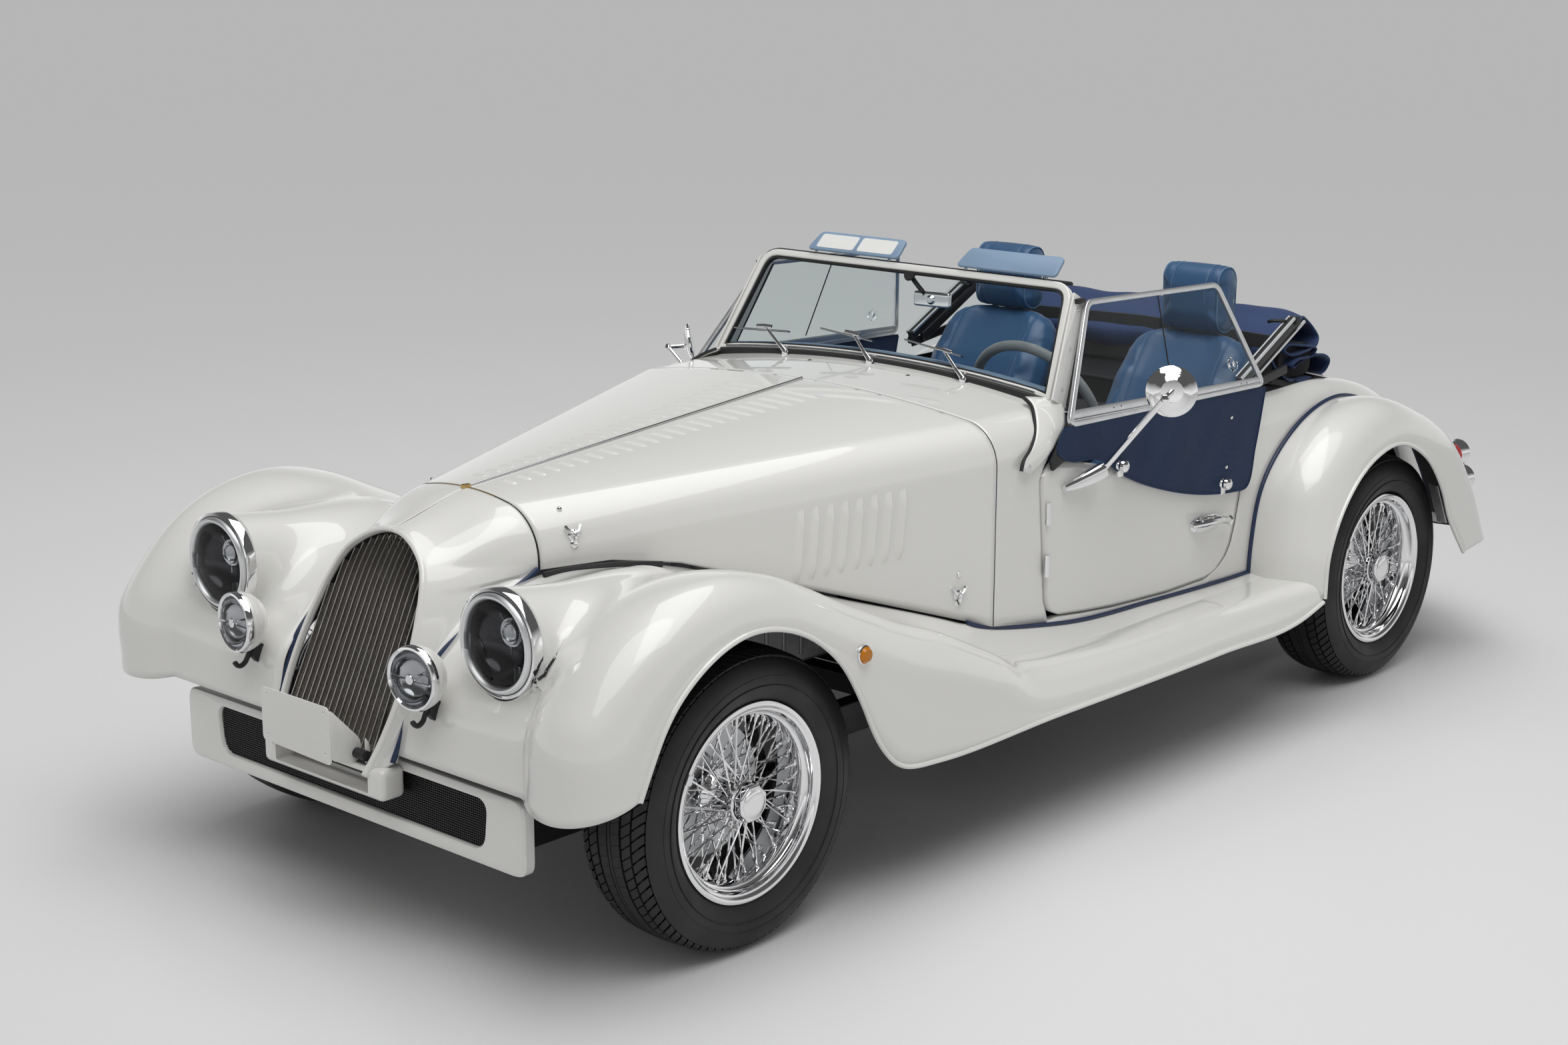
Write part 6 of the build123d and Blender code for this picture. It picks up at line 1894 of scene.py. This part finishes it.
# %% Steering wheel
WHEEL_CENTRE, WHEEL_LEAN, RIM_R = Vector((300, 140, 850)), radians(25), 180
wheel_axis = Vector((0, cos(WHEEL_LEAN), sin(WHEEL_LEAN)))
across_wheel, up_wheel = Vector((1, 0, 0)), Vector((1, 0, 0)).cross(wheel_axis) * -1
rim_section = [(13 * cos(radians(a)), RIM_R + 13 * sin(radians(a))) for a in range(0, 360, 24)]
rim = turned(rim_section, WHEEL_CENTRE, wheel_axis, 72, True)
piece("wheel_rim", rim, rim_leather, "steering_wheel", ["steering_wheel"])
spokes = []
for turn in (0, 180, 270):
    way = across_wheel * cos(radians(turn)) + up_wheel * -sin(radians(turn))
    inner, outer = WHEEL_CENTRE - wheel_axis * 22, WHEEL_CENTRE + way * (RIM_R - 8)
    spokes.append(bar([inner + way * 26, mix(inner + way * 100, outer, 0.35), outer], oblong(30, 5, 2),
                      wheel_axis, scale=lambda s: (1 - 0.3 * s, 1)))
piece("wheel_spokes", joined(*spokes), satin_alloy, "steering_wheel")
pad = [(-46, 0), (-46, 30), (-30, 34), (-22, 40), (-8, 40), (2, 34), (6, 20), (7, 0)]
piece("wheel_pad", turned(pad, WHEEL_CENTRE, wheel_axis, 48), black_vinyl, "steering_wheel")
shroud = turned([(-210, 30), (-200, 34), (-70, 38), (-52, 36), (-50, 28)], WHEEL_CENTRE, wheel_axis, 40)
stalks = [tube([WHEEL_CENTRE - wheel_axis * back + across_wheel * s * out
                for back, out in ((75, 34), (70, 120), (62, 140))], 4.5) for s in (-1, 1)]
piece("column_shroud", joined(shroud, *stalks), black_vinyl, "chassis", ["steering_column"])

# %% Floor, tunnel and lever
softened("cabin_floor", black_cloth, 0)
lever = joined(tube([(0, 200, 440), (0, 205, 560), (0, 196, 620)], 6),
               turned([(-20, 0), (-20, 14), (-4, 24), (14, 20), (22, 0)], (0, 196, 636), UP, 28))
gaiter = turned([(0, 56), (10, 44), (16, 46), (30, 30), (36, 33), (52, 18), (60, 8)], (0, 200, 438), UP, 32)
piece("gear_lever", lever, chrome)
piece("lever_gaiter", gaiter, black_vinyl)
brake = joined(tube([(70, 330, 442), (72, 400, 470), (72, 520, 520)], 8),
               block(58, 84, 500, 560, 508, 532, 8, 3))
piece("hand_brake", brake, black_vinyl)

# %% [markdown]
# ## Folded hood
# The hood lies folded behind the seats: one long sheet of canvas, laid back and forth over its own folded
# sticks. Its section is a path that doubles back on itself, and the layers sag a little between the ends.

# %% Canvas bundle
HOOD_HALF = 462
# the canvas in section at its ends: y and z along the cloth
HOOD_PATH = [(1096, 812), (1051, 816), (1016, 838), (987, 876), (984, 898), (1018, 928), (1078, 962),
             (1126, 982), (1160, 972), (1198, 944), (1212, 918), (1196, 900), (1130, 903), (1066, 906),
             (1052, 897), (1064, 888), (1150, 890), (1210, 889), (1226, 880), (1214, 870), (1146, 868),
             (1084, 862), (1074, 852), (1090, 846), (1150, 856), (1212, 870), (1254, 862), (1284, 838),
             (1276, 816), (1230, 808), (1163, 808), (1110, 806)]


def hood_point(u, v):
    x = mix(-HOOD_HALF, HOOD_HALF, u)
    y, z = smooth_row(HOOD_PATH, v)
    near_end = abs(2 * u - 1)**6
    bow = 34 * (1 - (2 * u - 1)**2)
    wave = sin(x / 61 + v * 9) * 5 + sin(x / 27 + v * 23) * 2.5 + sin(x / 143 - v * 5) * 6
    share = (z - 806) / 180
    return (x + 10 * sin(v * 40) * near_end, y + bow + wave * (1 - 0.4 * near_end),
            z + 0.55 * wave * share + 10 * share * (1 - near_end))


canvas = sheet(90, 170, hood_point)
hood_cloth = piece("hood_canvas", canvas, [navy_canvas, navy_canvas], "chassis", ["folded_hood"], sharp=70,
                   wall=3.0)
for side, sign in SIDES:
    edge = [hood_point(1 if sign > 0 else 0, i / 160) for i in range(161)]
    piece(f"hood_hem_{side}", tube(edge, 3.2), navy_canvas)
liner = bar([(-HOOD_HALF + 20, 1130, 860), (0, 1160, 862), (HOOD_HALF - 20, 1130, 860)], oblong(150, 90, 30))
piece("hood_liner", liner, black_cloth)

# %% [markdown]
# The hood's frame folds with it and shows at each side as flat dark rails with bright channels on them. They
# are bars that lean a little, so their wide side faces up and forwards.

# %% Hood sticks
rails = []
for x, start, end in ((548, (676, 870), (928, 1000)), (540, (722, 864), (974, 994))):
    rails.append(bar([(x, *start), (x, *end)], oblong(13, 30, 3), (0, -0.45, 0.9)))
sticks = both(joined(*rails, bar([(552, 690, 850), (552, 900, 880)], oblong(8, 24, 3))))
channels = both(joined(*[bar([(x, *s), (x, *e)], oblong(6, 8, 1.5), (0, -0.45, 0.9)) for x, s, e in (
    (556, (672, 882), (924, 1012)), (538, (676, 884), (928, 1014)), (548, (738, 866), (990, 996)))]))
latches = both(joined(block(528, 560, 926, 952, 994, 1014, 4),
                      tube([(544, 908, 1004), (522, 878, 1010), (502, 884, 1002)], 5),
                      turned([(-5, 0), (-5, 12), (5, 12), (5, 0)], (556, 690, 858), OUTWARD, 24)))
piece("hood_sticks", sticks, black_vinyl, "chassis", ["hood_frame"])
piece("hood_channels", channels, satin_alloy)
piece("hood_latches", latches, black_rubber)
cover = bar([(-500, 905, 800), (0, 915, 806), (500, 905, 800)], oblong(240, 12, 5))
piece("luggage_cover", cover, black_vinyl)
front_lining = bar([(-HOOD_HALF + 12, 1000, 880), (0, 1034, 886), (HOOD_HALF - 12, 1000, 880)],
                   oblong(8, 130, 3))
piece("hood_front_lining", front_lining, black_cloth)

# %% [markdown]
# ## Tail, running gear and underside
# These frame parts already have their real shape, so each is taken over as a smooth copy with a finish of
# its own, some with their edges rounded. The tail lamps, the leaf springs' clips and the pipes' ends get
# their small parts.

# %% Tail
tail_red, tail_chrome = [], []
for y, z in ((1640, 560), (1680, 480)):
    rim = [(-42, 34), (-6, 36), (0, 38), (3, 36), (4, 33), (-4, 32)]
    tail_chrome.append(turned(rim, (690, y, z), REARWARD, 48, True))
    tail_red.append(turned([(-4, 32.5), (6, 31), (14, 25), (19, 14), (20, 0)], (690, y, z), REARWARD, 48))
piece("tail_lamp_rims", both(joined(*tail_chrome)), chrome, "chassis", ["tail_lamps"])
piece("tail_lamp_lenses", both(joined(*tail_red)), red_lens)
piece("rear_plinth_finish", block(-150, 150, 1868, 1904, 322, 418, 8, 3), pearl_paint, "chassis",
      ["rear_plinth"])
piece("rear_card", block(-130, 130, 1904, 1907, 330, 410, 4, 2), card_white)
piece("rear_card_lamp", block(-40, 40, 1896, 1914, 418, 430, 4, 2), chrome)
brackets = both(joined(bar([(560, 1634, 454), (560, 1702, 331)], oblong(6, 30, 2), OUTWARD),
                       bar([(700, 1486, 490), (700, 1553, 372)], oblong(6, 30, 2), OUTWARD),
                       bar([(560, 1690, 350), (700, 1548, 382)], oblong(6, 26, 2))))
piece("wing_brackets", brackets, satin_alloy)

# %% Underside and running gear
# columns: node, finish, width of the rounded edges
for node_name, finish, width in (
        ("chassis", chassis_black, 3), ("engine_block", cast_metal, 8), ("fuel_tank", chassis_black, 10),
        ("front_suspension", chassis_black, 0), ("steering_rack", cast_metal, 0),
        ("rear_axle", chassis_black, 0),
        ("exhaust", satin_alloy, 0), ("bonnet_hinge", chrome, 0)):
    softened(node_name, finish, width)
ribs = [block(-193, 193, y, y + 14, 350, 740, 4) for y in range(-1100, -500, 60)]
cover = block(-120, 120, -1090, -520, 748, 778, 10, 3)
filler = turned([(0, 22), (0, 26), (10, 26), (14, 22), (14, 0)], (60, -980, 776), UP, 24)
piece("engine_ribs", joined(*ribs), cast_metal)
piece("engine_cover", joined(cover, filler), black_vinyl)
leaves = []
for side in (-1, 1):
    for y in (1000, 1350):
        leaves.append(block(side * 422 - 28, side * 422 + 28, y - 14, y + 14, 250, 300, 3))
    for y in (1140, 1210):
        bolt = [(side * x, y, z) for x, z in ((398, 262), (398, 350), (447, 350), (447, 262))]
        leaves.append(tube(bolt, 6, bend=False))
piece("spring_clips", joined(*leaves), chassis_black)
dampers = both(turned([(0, 26), (120, 26), (124, 14), (190, 14), (190, 0)], (350, 1060, 300), (0, 0.25, 1),
                      28))
piece("rear_dampers", dampers, chassis_black)
tips = both(turned([(0, 22), (0, 27), (-80, 27), (-84, 22), (-84, 18), (-2, 18)], (230, 1856, 188), REARWARD,
                   36, True))
piece("pipe_tips", tips, chrome)
